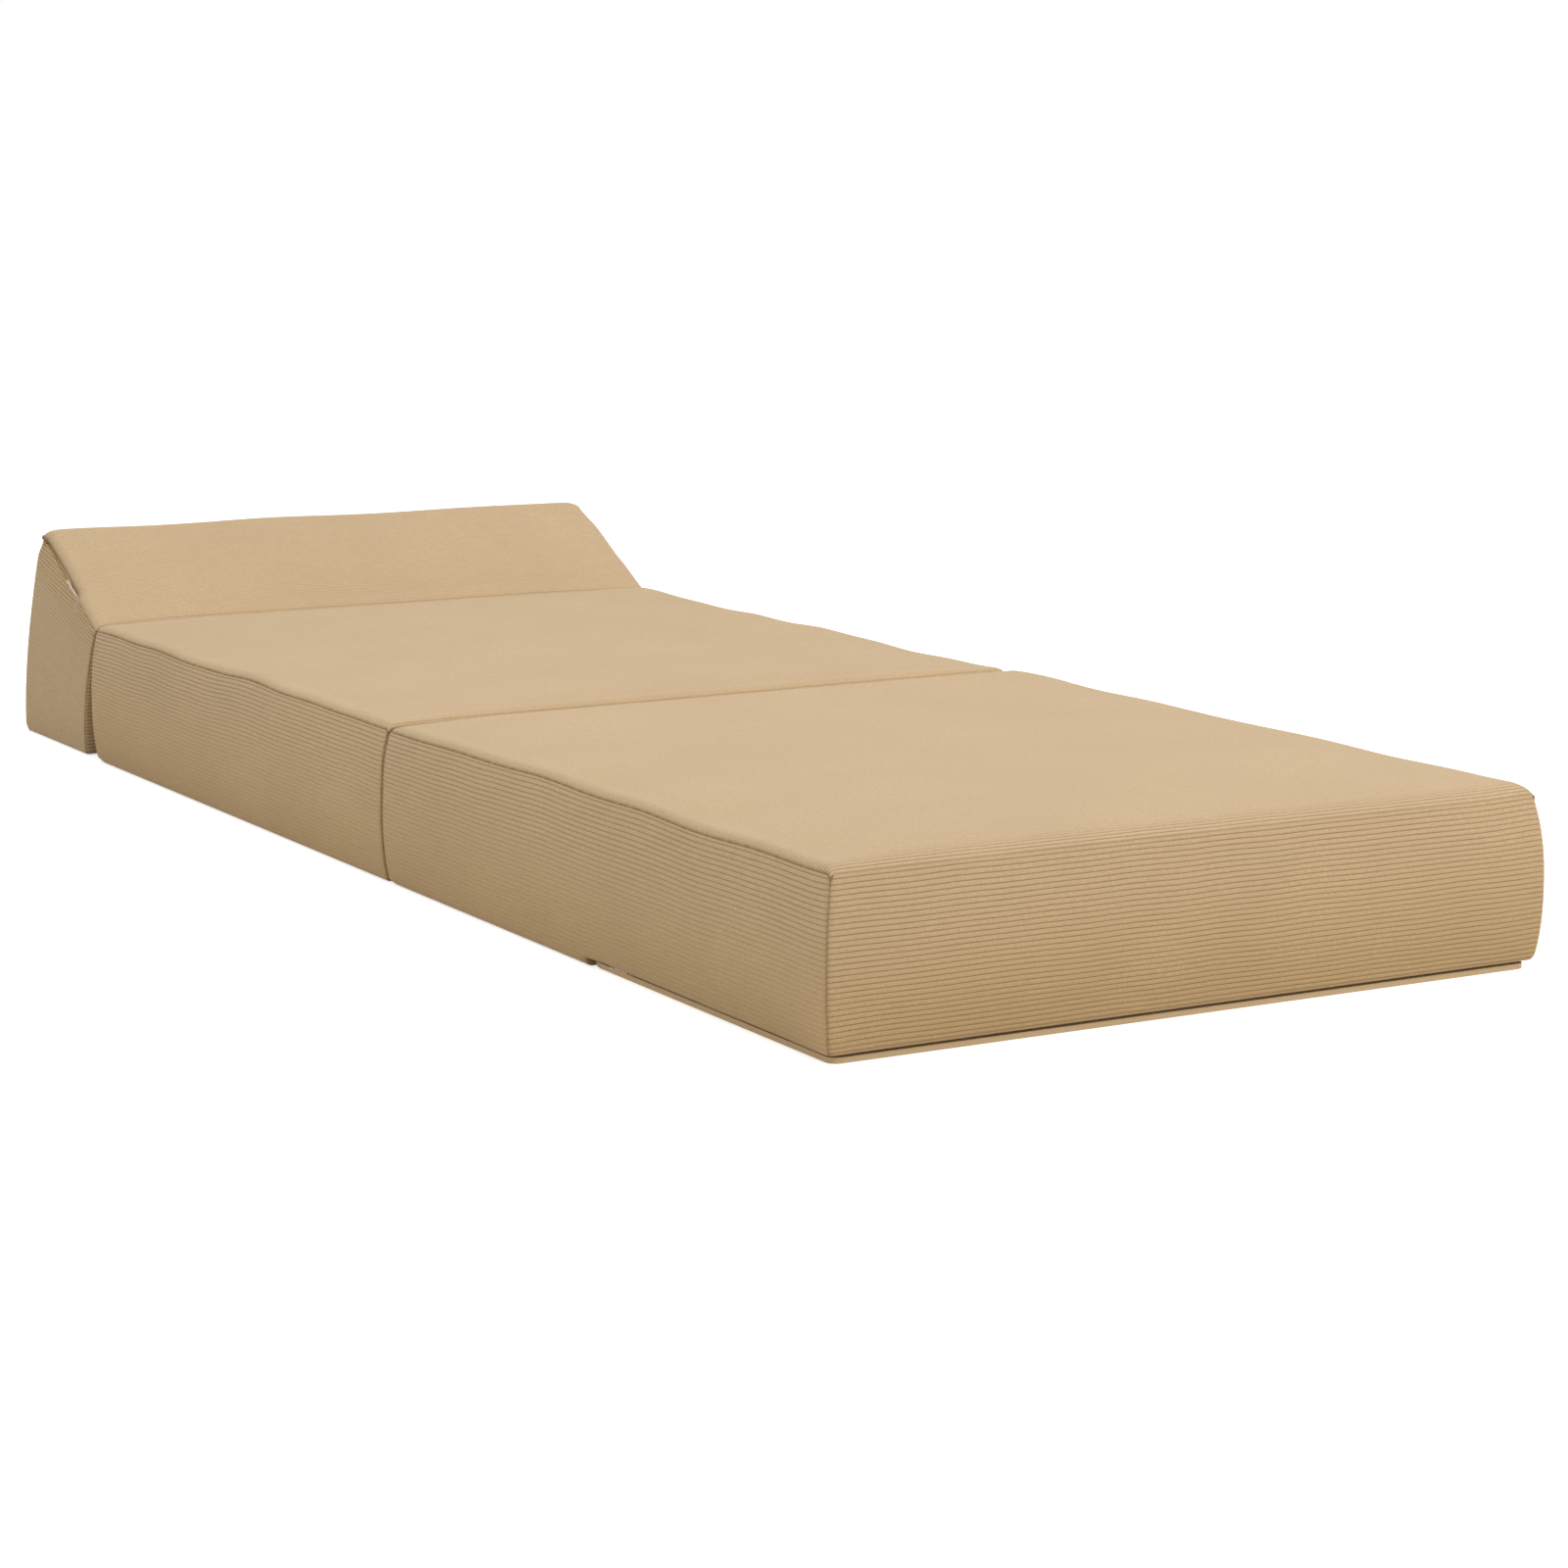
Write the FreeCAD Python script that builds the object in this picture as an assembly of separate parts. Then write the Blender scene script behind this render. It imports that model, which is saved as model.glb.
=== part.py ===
import FreeCAD, Part
import math
import os

from FreeCAD import Matrix, Placement, Vector

# Folding floor mattress in three upholstered sections.  From -Y to +Y they are the foot block,
# the middle block and the head wedge.  The foot folds under the middle on a cloth hinge at the
# floor, and the wedge folds over onto the middle on a sewn hinge in the top valley.
# Units are millimetres, +Z is up and the origin is under the centre of the whole mattress.

# ---- overall sizes ------------------------------------------------------------------------
WIDTH = 750.0             # between the two long seams
FOOT_LENGTH = 880.0       # front seam to the fold
MID_LENGTH = 855.0
SEAM_HEIGHT = 160.0       # floor to the seam round the top panels
FOLD_GAP = 2.4            # between the two blocks at the foot fold
HEAD_RUN = 188.0          # hinge to the ridge seam, along Y
HEAD_RISE = 93.0          # top seam to the ridge seam
HEAD_SETBACK = 49.0       # hinge to the front edge of the wedge's base
HEAD_REACH = 273.0        # hinge to the back corner of the wedge's base, before it is rounded

# ---- upholstery ---------------------------------------------------------------------------
CLOTH = 2.0               # corduroy with its lining
FOAM_EASE = 0.3           # foam to cloth
SIDE_BULGE = 10.0         # the boxing swells this far past the seams
WEDGE_BULGE = 7.0         # the wedge's short sides swell less
BACK_BULGE = 3.0
LOFT = 12.0               # rise of a top panel above its seams
ROLL_WIDTH = 28.0         # soft rolled edge of the foot's top panel, at the outer end
TIGHT_ROLL = 12.0         # width of the roll along the ridge and along the folds
ROLL_HEIGHT = 9.0
SIDE_ROLL = 12.0          # width of the low roll along the long seams
SIDE_RISE = 6.0
SEAM_TUCK = 2.0           # the seam sits this far inside the boxing
FOOT_RADIUS = 8.0         # bottom arris of the boxing
WEDGE_FLAT = 190.0        # above this height the wedge's boxing is flat
WEDGE_LEAN = 0.3          # slope at which the wedge's boxing starts to swell

# ---- zips ---------------------------------------------------------------------------------
ZIP_BAND = 8.4            # height of the recessed band that holds a zip
ZIP_INSET = 5.5           # depth of that band behind the seam line
ZIP_CHANNEL = 10.3        # depth of the slider's channel behind the seam line
TAPE = 1.0                # thickness of a tape
TAPE_SEAT = 0.5           # the tapes sit this far behind the face of the band
COIL = 2.0                # width and thickness of the coil
CORNER = 16.0             # radius of the zip where it turns a corner
FOOT_ZIP_LEG = 395.0      # front seam to the closed slider
HEAD_ZIP_LEG = 95.0       # ridge seam to the closed slider
MID_ZIP_END = 44.0        # end of the middle block to the end of its zip
COIL_TAIL = 1.5           # the coil runs this far past the slider

SLIDER_LENGTH = 10.0
SLIDER_WIDTH = 5.8
SLIDER_NOSE = 4.0         # width at the mouth
SLIDER_REAR = 5.0
SLIDER_SHOULDER = 1.7     # mouth to the widest place
SLIDER_ROUND = 0.6
SLIDER_PLATE = 1.0
MOUTH_DEPTH = 1.8         # the flanges stop this far from each end
REAR_DEPTH = 0.8
CHAIN_EASE = 0.3          # slider to coil and to tape
FLANGE = 0.6
POST_WIDTH = 1.3
POST_SETBACK = 3.7        # slider centre to the post, towards the mouth
BRIDGE_LENGTH = 6.0
BRIDGE_WIDTH = 1.6
BRIDGE_WALL = 0.8
BRIDGE_ROUND = 1.0
BRIDGE_ROOT = 0.2         # the bridge sinks this far into the plate
PULL_LENGTH = 36.0
PULL_WIDTH = 5.4
PULL_THICKNESS = 1.0
PULL_ROUND = 1.8
PULL_EASE = 0.4
PULL_HOLE = 6.0
PULL_HOLE_WIDTH = 2.6
PULL_HOLE_ROUND = 0.8
PULL_RIM = 1.9            # hole to the end of the pull
WAIST_RADIUS = 16.0       # the pull narrows on both edges
WAIST_DEPTH = 0.6
WAIST_PLACE = 15.0        # bridge to the narrowest place
STOP_LENGTH = 1.6
STOP_WIDTH = 1.2
STOP_THICKNESS = 2.0
STOP_BITE = 0.3           # the stops overlap the edge of the coil
STOP_START = 6.0          # slider centre to its top stops

# ---- hinges -------------------------------------------------------------------------------
STRIP = 0.8               # thickness of a hinge cloth
STRIP_LIFT = 0.3          # hinge cloth to the floor and to what moves
FOOT_STRIP = 40.0         # width of the cloth across the foot fold
STRIP_REBATE = 1.5        # depth of its rebate in both base panels
HEAD_STRIP = 10.0         # height of the sewn web in the head valley

FAR = 60.0                # reach of cutting solids past the mattress
PAST = 1.0                # and past a small metal part
TOUCH = 0.001             # lengths closer than this are the same

# ---- values that follow from the ones above -----------------------------------------------
# The sewn web of the head hinge lies on the middle block and just clears the wedge.
HEAD_GAP = STRIP + STRIP_LIFT
HALF = WIDTH / 2
FOOT_START = 0.0
MID_START = FOOT_START + FOOT_LENGTH + FOLD_GAP
HINGE_Y = MID_START + MID_LENGTH
# The front bulge and the rounded back corner of the wedge are the two ends of the mattress.
BACK_CORNER = math.atan2(SEAM_HEIGHT + HEAD_RISE, HEAD_REACH - HEAD_RUN)
BACK_END = HINGE_Y + HEAD_REACH + FOOT_RADIUS * (1 - 1 / math.tan(BACK_CORNER / 2))
CENTRE_Y = (FOOT_START - SIDE_BULGE + BACK_END) / 2

SLOPE = math.atan2(HEAD_RISE, HEAD_RUN - HEAD_GAP)
SLANT = math.hypot(HEAD_RISE, HEAD_RUN - HEAD_GAP)
TOP = SEAM_HEIGHT + LOFT

# The pull lies along the zip, over tapes and a band that run on past it.
TAPE_TAIL = PULL_LENGTH + 2
BAND_TAIL = PULL_LENGTH + 4
TAPE_PLANE = ZIP_INSET + TAPE_SEAT + TAPE / 2
CHAIN_LEVEL = (CLOTH + ZIP_BAND) / 2

# Distances from the middle of the chain to a slider's plates, flanges and eye.
INNER = COIL / 2 + CHAIN_EASE
OUTER = INNER + SLIDER_PLATE
FLANGE_EDGE = TAPE / 2 + CHAIN_EASE
EYE = OUTER + PULL_EASE + PULL_THICKNESS / 2


def frame(origin, x_dir, y_dir, z_dir):
    """Placement whose local axes are the three given directions."""
    return Placement(Matrix(
        x_dir.x, y_dir.x, z_dir.x, origin.x,
        x_dir.y, y_dir.y, z_dir.y, origin.y,
        x_dir.z, y_dir.z, z_dir.z, origin.z,
        0, 0, 0, 1,
    ))


def placed(shape, placement):
    moved = shape.copy()
    moved.Placement = placement.multiply(moved.Placement)
    return moved


X = Vector(1, 0, 0)
Y = Vector(0, 1, 0)
Z = Vector(0, 0, 1)
UP_SLOPE = Vector(0, math.cos(SLOPE), math.sin(SLOPE))
SLOPE_NORMAL = Vector(0, -math.sin(SLOPE), math.cos(SLOPE))
RIDGE = Vector(0, HINGE_Y + HEAD_RUN, SEAM_HEIGHT + HEAD_RISE)
VALLEY = Vector(0, HINGE_Y + HEAD_GAP, SEAM_HEIGHT)


def block(x0, x1, y0, y1, z0, z1):
    return Part.makeBox(x1 - x0, y1 - y0, z1 - z0, Vector(x0, y0, z0))


# ---- soft outlines ------------------------------------------------------------------------
def inset_corners(corners, distance):
    """Corners of the polygon whose sides lie this far inside the given one (anticlockwise)."""
    count = len(corners)
    lines = []
    for i in range(count):
        start = corners[i]
        along = (corners[(i + 1) % count] - start).normalize()
        inward = Vector(-along.y, along.x, 0)
        lines.append((start + inward * distance, along))
    result = []
    for i in range(count):
        before, before_dir = lines[i - 1]
        after, after_dir = lines[i]
        across = before_dir.x * after_dir.y - before_dir.y * after_dir.x
        gap = after - before
        travel = (gap.x * after_dir.y - gap.y * after_dir.x) / across
        result.append(before + before_dir * travel)
    return result


def bowed(start, end, bulge):
    """A line, or an arc that bulges to the right of the way from start to end."""
    if not bulge:
        return Part.LineSegment(start, end).toShape()
    along = end - start
    outward = Vector(along.y, -along.x, 0).normalize()
    return Part.Arc(start, (start + end) / 2 + outward * bulge, end).toShape()


def rounded_corner(before, corner, after, radius):
    """Tangent arc at a corner, as its first point, its edge and its last point."""
    back = (before - corner).normalize()
    ahead = (after - corner).normalize()
    half_angle = back.getAngle(ahead) / 2
    reach = radius / math.tan(half_angle)
    depth = radius / math.sin(half_angle) - radius
    first = corner + back * reach
    last = corner + ahead * reach
    middle = corner + (back + ahead).normalize() * depth
    return first, Part.Arc(first, middle, last).toShape(), last


def roll_arc(foot, top, along, normal):
    """Arc from a seam up to the top of the roll, level with the panel there."""
    width = abs((top - foot).dot(along))
    height = (top - foot).dot(normal)
    radius = (width ** 2 + height ** 2) / (2 * height)
    half_turn = math.asin(width / radius) / 2
    middle = top - along * (radius * math.sin(half_turn)) - normal * (radius * (1 - math.cos(half_turn)))
    return Part.Arc(foot, middle, top).toShape()


def padded_face(corners, inset, bulge_high, bulge_low, roll_high, roll_low, rise=ROLL_HEIGHT):
    """Outline of a padded block, as a face in its own plane.

    The corners are low bottom, high bottom, high seam and low seam.  The sides swell between
    the seams, and the top panel rolls up from each seam to a slight crown.
    """
    low, high, high_seam, low_seam = inset_corners(corners, inset)
    tuck = SEAM_TUCK if inset == 0 else 0
    along = (low_seam - high_seam).normalize()
    normal = Vector(along.y, -along.x, 0)
    low_first, low_arc, low_last = rounded_corner(low_seam, low, high, FOOT_RADIUS - inset)
    high_first, high_arc, high_last = rounded_corner(low, high, high_seam, FOOT_RADIUS - inset)
    high_foot = high_seam + along * tuck
    low_foot = low_seam - along * tuck
    high_top = high_seam + along * (roll_high - inset) + normal * rise
    low_top = low_seam - along * (roll_low - inset) + normal * rise
    edges = [low_arc, Part.LineSegment(low_last, high_first).toShape(), high_arc]
    edges.append(bowed(high_last, high_seam, bulge_high))
    if tuck:
        edges.append(Part.LineSegment(high_seam, high_foot).toShape())
    edges.append(roll_arc(high_foot, high_top, along, normal))
    edges.append(bowed(high_top, low_top, LOFT - rise))
    edges.append(roll_arc(low_foot, low_top, along * -1, normal))
    if tuck:
        edges.append(Part.LineSegment(low_foot, low_seam).toShape())
    edges.append(bowed(low_seam, low_first, bulge_low))
    return Part.Face(Part.Wire(Part.__sortEdges__(edges)))


def block_corners(low, high):
    return [Vector(low, 0), Vector(high, 0), Vector(high, SEAM_HEIGHT), Vector(low, SEAM_HEIGHT)]


def across_solid(face):
    """Sweep an outline drawn in Y and Z over the whole width."""
    solid = face.extrude(Vector(0, 0, WIDTH + 2 * FAR))
    return placed(solid, frame(Vector(-HALF - FAR, 0, 0), Y, Z, X))


def along_solid(face, y0, y1):
    """Sweep an outline drawn in X and Z from y0 to y1."""
    solid = face.extrude(Vector(0, 0, y1 - y0))
    return placed(solid, frame(Vector(0, y1, 0), X, Z, Y * -1))


def block_form(y0, y1, front_bulge, inset):
    """Padded rectangular block; only an outer end swells, a folding end is flat."""
    side = padded_face(block_corners(-HALF, HALF), inset, SIDE_BULGE, SIDE_BULGE,
                       SIDE_ROLL, SIDE_ROLL, SIDE_RISE)
    front_roll = ROLL_WIDTH if front_bulge else TIGHT_ROLL
    end = padded_face(block_corners(y0, y1), inset, 0, front_bulge, TIGHT_ROLL, front_roll)
    return across_solid(end).common(along_solid(side, y0 - FAR, y1 + FAR))


def wedge_side(inset):
    """Boxing outline of the wedge: swollen below, flat where the slanted seam runs."""
    side = HALF - inset
    swell = Vector(side + WEDGE_BULGE, SEAM_HEIGHT / 2)
    low = Vector(side, FOOT_RADIUS)
    flat = Vector(side, WEDGE_FLAT)
    high = Vector(side, TOP + HEAD_RISE + FAR)
    curve = Part.BSplineCurve()
    curve.interpolate(
        Points=[low, swell, flat], InitialTangent=Vector(WEDGE_LEAN, 1), FinalTangent=Vector(0, 1))
    first, arc, _ = rounded_corner(Vector(0, inset), Vector(side, inset), high, FOOT_RADIUS - inset)
    half_edges = [
        Part.LineSegment(Vector(0, inset), first).toShape(),
        arc,
        curve.toShape(),
        Part.LineSegment(flat, high).toShape(),
        Part.LineSegment(high, Vector(0, high.y)).toShape(),
    ]
    mirror = [edge.mirror(Vector(0, 0, 0), Vector(1, 0, 0)) for edge in half_edges]
    return Part.Face(Part.Wire(Part.__sortEdges__(half_edges + mirror)))


def slope_side(inset):
    """Outline across the slope: the slope panel rolls down to both slanted seams."""
    edge = HALF - inset
    tuck = SEAM_TUCK if inset == 0 else 0
    deep = -(SLANT + FAR)
    foot = Vector(edge - tuck, -inset)
    top = Vector(HALF - SIDE_ROLL, SIDE_RISE - inset)
    wide = HALF + FAR
    mirror = [Vector(-p.x, p.y) for p in (foot, top)]
    edges = [
        Part.LineSegment(Vector(-wide, deep), Vector(wide, deep)).toShape(),
        Part.LineSegment(Vector(wide, deep), Vector(wide, -inset)).toShape(),
        Part.LineSegment(Vector(wide, -inset), foot).toShape(),
        roll_arc(foot, top, X * -1, Y),
        bowed(top, mirror[1], LOFT - SIDE_RISE),
        roll_arc(mirror[0], mirror[1], X, Y),
        Part.LineSegment(mirror[0], Vector(-wide, -inset)).toShape(),
        Part.LineSegment(Vector(-wide, -inset), Vector(-wide, deep)).toShape(),
    ]
    return Part.Face(Part.Wire(Part.__sortEdges__(edges)))


def wedge_form(inset):
    """Head wedge: leaning front and back, and a slope that rises from the valley to the ridge."""
    corners = [
        Vector(HINGE_Y + HEAD_SETBACK, 0),
        Vector(HINGE_Y + HEAD_REACH, 0),
        Vector(RIDGE.y, RIDGE.z),
        Vector(VALLEY.y, VALLEY.z),
    ]
    end = padded_face(corners, inset, BACK_BULGE, 0, TIGHT_ROLL, TIGHT_ROLL)
    sides = along_solid(wedge_side(inset), VALLEY.y - FAR, HINGE_Y + HEAD_REACH + FAR)
    form = across_solid(end).common(sides)
    cover = slope_side(inset).extrude(Vector(0, 0, SLANT + 4 * FAR))
    cover_frame = frame(RIDGE + UP_SLOPE * (2 * FAR), X, SLOPE_NORMAL, UP_SLOPE * -1)
    return form.common(placed(cover, cover_frame))


# ---- zip runs -----------------------------------------------------------------------------
def plan(inset, reach, z0, z1):
    """Slab with the plan of a section's outer end, its two corners rounded."""
    slab = block(-HALF + inset, HALF - inset, inset, reach, z0, z1)
    if inset >= CORNER:
        return slab
    upright = [e for e in slab.Edges if abs(e.BoundBox.ZLength - (z1 - z0)) < TOUCH]
    corners = [e for e in upright if e.BoundBox.YMax < inset + PAST]
    return slab.makeFillet(CORNER - inset, corners)


def u_run(placement, leg):
    """Zip run round an outer end: two legs along the sides joined across the end."""
    def run(inset0, inset1, z0, z1, tail):
        reach = leg + tail
        if inset0 < 0:
            outer = block(-HALF - FAR, HALF + FAR, -FAR, reach, z0, z1)
        else:
            outer = plan(inset0, reach, z0, z1)
        return placed(outer.cut(plan(inset1, reach + FAR, z0, z1)), placement)
    return run


def side_run(y0, y1):
    """Straight zip run along the foot of the +X side."""
    def run(inset0, inset1, z0, z1, tail):
        outer = FAR if inset0 < 0 else -inset0
        return block(HALF - inset1, HALF + outer, y0 - tail, y1 + tail, z0, z1)
    return run


def zip_tapes_and_coil(run):
    """Two tapes edge to edge with the closed coil between them."""
    tape0 = TAPE_PLANE - TAPE / 2
    tape1 = TAPE_PLANE + TAPE / 2
    coil0 = CHAIN_LEVEL - COIL / 2
    coil1 = CHAIN_LEVEL + COIL / 2
    lower = run(tape0, tape1, CLOTH, coil0, TAPE_TAIL)
    upper = run(tape0, tape1, coil1, ZIP_BAND, TAPE_TAIL)
    coil = run(TAPE_PLANE - COIL / 2, TAPE_PLANE + COIL / 2, coil0, coil1, COIL_TAIL)
    return lower, upper, coil


def shield(width_scale, n0, n1):
    """Plate of a slider: narrow at the mouth, widest behind it, tapering to the rear."""
    half = SLIDER_LENGTH / 2
    outline = [
        (-half, SLIDER_NOSE / 2),
        (-half + SLIDER_SHOULDER, SLIDER_WIDTH / 2),
        (0.0, SLIDER_WIDTH / 2),
        (half, SLIDER_REAR / 2),
    ]
    right = [Vector(n0, s, t * width_scale) for s, t in outline]
    left = [Vector(n0, s, -t * width_scale) for s, t in reversed(outline)]
    plate = Part.Face(Part.makePolygon(right + left + right[:1])).extrude(Vector(n1 - n0, 0, 0))
    corners = [e for e in plate.Edges if e.BoundBox.XLength > (n1 - n0) / 2]
    return plate.makeFillet(SLIDER_ROUND, corners)


def zip_slider():
    """Slider round the chain: X is outward, Y the way it opens, Z across the tapes."""
    core_scale = 1 - 2 * FLANGE / SLIDER_REAR
    half = SLIDER_LENGTH / 2
    body = shield(1, INNER, OUTER).fuse(shield(1, -OUTER, -INNER))
    for low, high in ((FLANGE_EDGE, INNER), (-INNER, -FLANGE_EDGE)):
        lips = shield(1, low, high).cut(shield(core_scale, low, high))
        n0 = low - PAST
        n1 = high + PAST
        mouths = block(n0, n1, -SLIDER_LENGTH, MOUTH_DEPTH - half, -SLIDER_WIDTH, SLIDER_WIDTH)
        rear = block(n0, n1, half - REAR_DEPTH, SLIDER_LENGTH, -SLIDER_WIDTH, SLIDER_WIDTH)
        body = body.fuse(lips.cut(mouths).cut(rear))
    post = Part.makeCylinder(POST_WIDTH / 2, 2 * INNER, Vector(-INNER, -POST_SETBACK, 0), X)
    body = body.fuse(post)
    top = EYE + PULL_THICKNESS / 2 + PULL_EASE + BRIDGE_WALL
    long = BRIDGE_LENGTH / 2
    wide = BRIDGE_WIDTH / 2
    arch = block(OUTER - BRIDGE_ROOT, top, -long, long, -wide, wide)
    shoulders = [e for e in arch.Edges if e.BoundBox.ZLength > wide and e.BoundBox.XMin > top - TOUCH]
    arch = arch.makeFillet(BRIDGE_ROUND, shoulders)
    wall = long - BRIDGE_WALL
    eye = block(OUTER, top - BRIDGE_WALL, -wall, wall, -BRIDGE_WIDTH, BRIDGE_WIDTH)
    return body.fuse(arch.cut(eye)).removeSplitter()


def zip_pull(way):
    """Pull plate hung on the slider's bridge; way is +1 or -1 along the zip at rest."""
    n0 = EYE - PULL_THICKNESS / 2
    n1 = n0 + PULL_THICKNESS
    wide = PULL_WIDTH / 2
    plate = block(n0, n1, 0, PULL_LENGTH, -wide, wide)
    through = [e for e in plate.Edges if e.BoundBox.XLength > PULL_THICKNESS / 2]
    ends = [e for e in through if e.BoundBox.YMin > PULL_LENGTH - PAST]
    plate = plate.makeFillet(PULL_ROUND, ends)
    slot = BRIDGE_WIDTH / 2 + PULL_EASE
    slot_end = BRIDGE_LENGTH / 2 + 2 * PULL_EASE
    plate = plate.cut(block(n0 - PAST, n1 + PAST, -PAST, slot_end, -slot, slot))
    hole_end = PULL_LENGTH - PULL_RIM
    half_hole = PULL_HOLE_WIDTH / 2
    hole = block(n0 - PAST, n1 + PAST, hole_end - PULL_HOLE, hole_end, -half_hole, half_hole)
    hole_corners = [e for e in hole.Edges if e.BoundBox.XLength > PAST]
    plate = plate.cut(hole.makeFillet(PULL_HOLE_ROUND, hole_corners))
    waist_middle = Vector(n0 - PAST, WAIST_PLACE, wide + WAIST_RADIUS - WAIST_DEPTH)
    waist = Part.makeCylinder(WAIST_RADIUS, PULL_THICKNESS + 2 * PAST, waist_middle, X)
    plate = plate.cut(waist).cut(waist.mirror(Vector(0, 0, 0), Z))
    bar = Part.makeCylinder(PULL_THICKNESS / 2, PULL_WIDTH, Vector(EYE, 0, -wide), Z)
    pull = plate.fuse(bar).removeSplitter()
    if way < 0:
        pull = pull.mirror(Vector(0, 0, 0), Y)
    return pull


def stop_clamp(s0, t0, t1):
    """Small metal stop folded round the edge of a tape."""
    half = STOP_THICKNESS / 2
    clamp = block(-half, half, s0, s0 + STOP_LENGTH, t0, t1)
    edge = COIL / 2
    far = edge + 2 * STOP_WIDTH
    for low, high in ((edge, far), (-far, -edge)):
        slit = block(-TAPE / 2, TAPE / 2, s0 - PAST, s0 + STOP_LENGTH + PAST, low, high)
        clamp = clamp.cut(slit)
    return clamp


def zip_stops(slider_frame, end_frame):
    """Two top stops past the slider and one bottom stop at the far end of the coil."""
    start = -STOP_START - STOP_LENGTH
    edge = COIL / 2 - STOP_BITE
    clamps = [
        placed(stop_clamp(start, edge, edge + STOP_WIDTH), slider_frame),
        placed(stop_clamp(start, -edge - STOP_WIDTH, -edge), slider_frame),
        placed(stop_clamp(-COIL_TAIL - STOP_LENGTH, -edge - STOP_WIDTH, edge + STOP_WIDTH), end_frame),
    ]
    return Part.makeCompound(clamps)


# ---- sections -----------------------------------------------------------------------------
def cover_and_core(form, run):
    """Hollow cover and the foam that fills it, both cut back along the zip."""
    outer = form(0).cut(run(-1, ZIP_INSET, 0, ZIP_BAND, BAND_TAIL))
    lining = form(CLOTH).cut(run(-1, ZIP_CHANNEL, 0, ZIP_BAND + CLOTH, BAND_TAIL + CLOTH))
    cover = outer.cut(lining).cut(run(ZIP_INSET + TAPE_SEAT, ZIP_CHANNEL, CLOTH, ZIP_BAND, BAND_TAIL))
    cover = cover.cut(run(0, ZIP_INSET + TAPE_SEAT, CLOTH, ZIP_BAND, BAND_TAIL))
    skin = CLOTH + FOAM_EASE
    rebate = run(-1, ZIP_CHANNEL + FOAM_EASE, 0, ZIP_BAND + skin, BAND_TAIL + skin)
    foam = form(skin).cut(rebate)
    return cover, foam


def mitre_prism(points):
    corners = [Vector(x, y, -FAR) for x, y in points]
    return Part.Face(Part.makePolygon(corners + corners[:1])).extrude(Vector(0, 0, SEAM_HEIGHT + 2 * FAR))


def block_panels(cover, y0, y1):
    """Top, base and four boxing panels that meet in mitred corner seams."""
    wide = HALF + FAR
    above = block(-wide, wide, y0 - FAR, y1 + FAR, SEAM_HEIGHT, SEAM_HEIGHT + FAR)
    below = block(-wide, wide, y0 - FAR, y1 + FAR, -FAR, CLOTH)
    boxing = cover.cut(above).cut(below)
    inner = HALF - FAR
    front = mitre_prism([(-wide, y0 - FAR), (wide, y0 - FAR), (inner, y0 + FAR), (-inner, y0 + FAR)])
    back = mitre_prism([(-wide, y1 + FAR), (wide, y1 + FAR), (inner, y1 - FAR), (-inner, y1 - FAR)])
    left = mitre_prism([(-wide, y0 - FAR), (-inner, y0 + FAR), (-inner, y1 - FAR), (-wide, y1 + FAR)])
    right = mitre_prism([(wide, y0 - FAR), (inner, y0 + FAR), (inner, y1 - FAR), (wide, y1 + FAR)])
    return {
        "top_panel": cover.common(above),
        "base_panel": cover.common(below),
        "front_panel": boxing.common(front),
        "back_panel": boxing.common(back),
        "left_panel": boxing.common(left),
        "right_panel": boxing.common(right),
    }


def wedge_panels(cover, run):
    """Slope, base, front, back and two side panels of the head wedge.

    The slope panel turns in under its roll as a flange that carries the zip's tape.
    """
    wide = HALF + FAR
    y0 = HINGE_Y - FAR
    y1 = HINGE_Y + HEAD_REACH + FAR
    top = TOP + HEAD_RISE + FAR
    reach = SLANT + 4 * FAR
    cap = placed(block(-wide, wide, -reach, reach, 0, FAR), frame(RIDGE, X, UP_SLOPE, SLOPE_NORMAL))
    flange = run(SEAM_TUCK + TAPE, ZIP_CHANNEL, 0, CLOTH, BAND_TAIL)
    below = block(-wide, wide, y0, y1, -FAR, CLOTH)
    slope = cover.common(cap).fuse(wedge_form(0).common(flange)).removeSplitter()
    boxing = cover.cut(cap).cut(run(-1, ZIP_CHANNEL, 0, CLOTH, BAND_TAIL)).cut(below)
    side = HALF - CLOTH
    left = block(-wide, -side, y0, y1, 0, top)
    right = block(side, wide, y0, y1, 0, top)
    middle = boxing.cut(left).cut(right)
    split = HINGE_Y + (HEAD_RUN + HEAD_SETBACK) / 2
    return {
        "slope_panel": slope,
        "base_panel": cover.common(below),
        "front_panel": middle.common(block(-wide, wide, y0, split, 0, top)),
        "back_panel": middle.common(block(-wide, wide, split, y1, 0, top)),
        "left_panel": boxing.common(left),
        "right_panel": boxing.common(right),
    }


def zip_parts(run, slider_frame, end_frame, pull_way):
    lower, upper, coil = zip_tapes_and_coil(run)
    return {
        "zip_lower_tape": lower,
        "zip_upper_tape": upper,
        "zip_coil": coil,
        "zip_stops": zip_stops(slider_frame, end_frame),
        "zip_slider": placed(zip_slider(), slider_frame),
        "zip_pull": placed(zip_pull(pull_way), slider_frame),
    }


def named(prefix, parts):
    return {prefix + "_" + name: shape for name, shape in parts.items()}


def strip_rebate():
    """Rebate across the foot fold, cut in both base panels for the hinge cloth."""
    half = FOOT_STRIP / 2 + STRIP_LIFT
    middle = FOOT_LENGTH + FOLD_GAP / 2
    return block(-HALF - FAR, HALF + FAR, middle - half, middle + half, -FAR, STRIP_REBATE)


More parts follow.
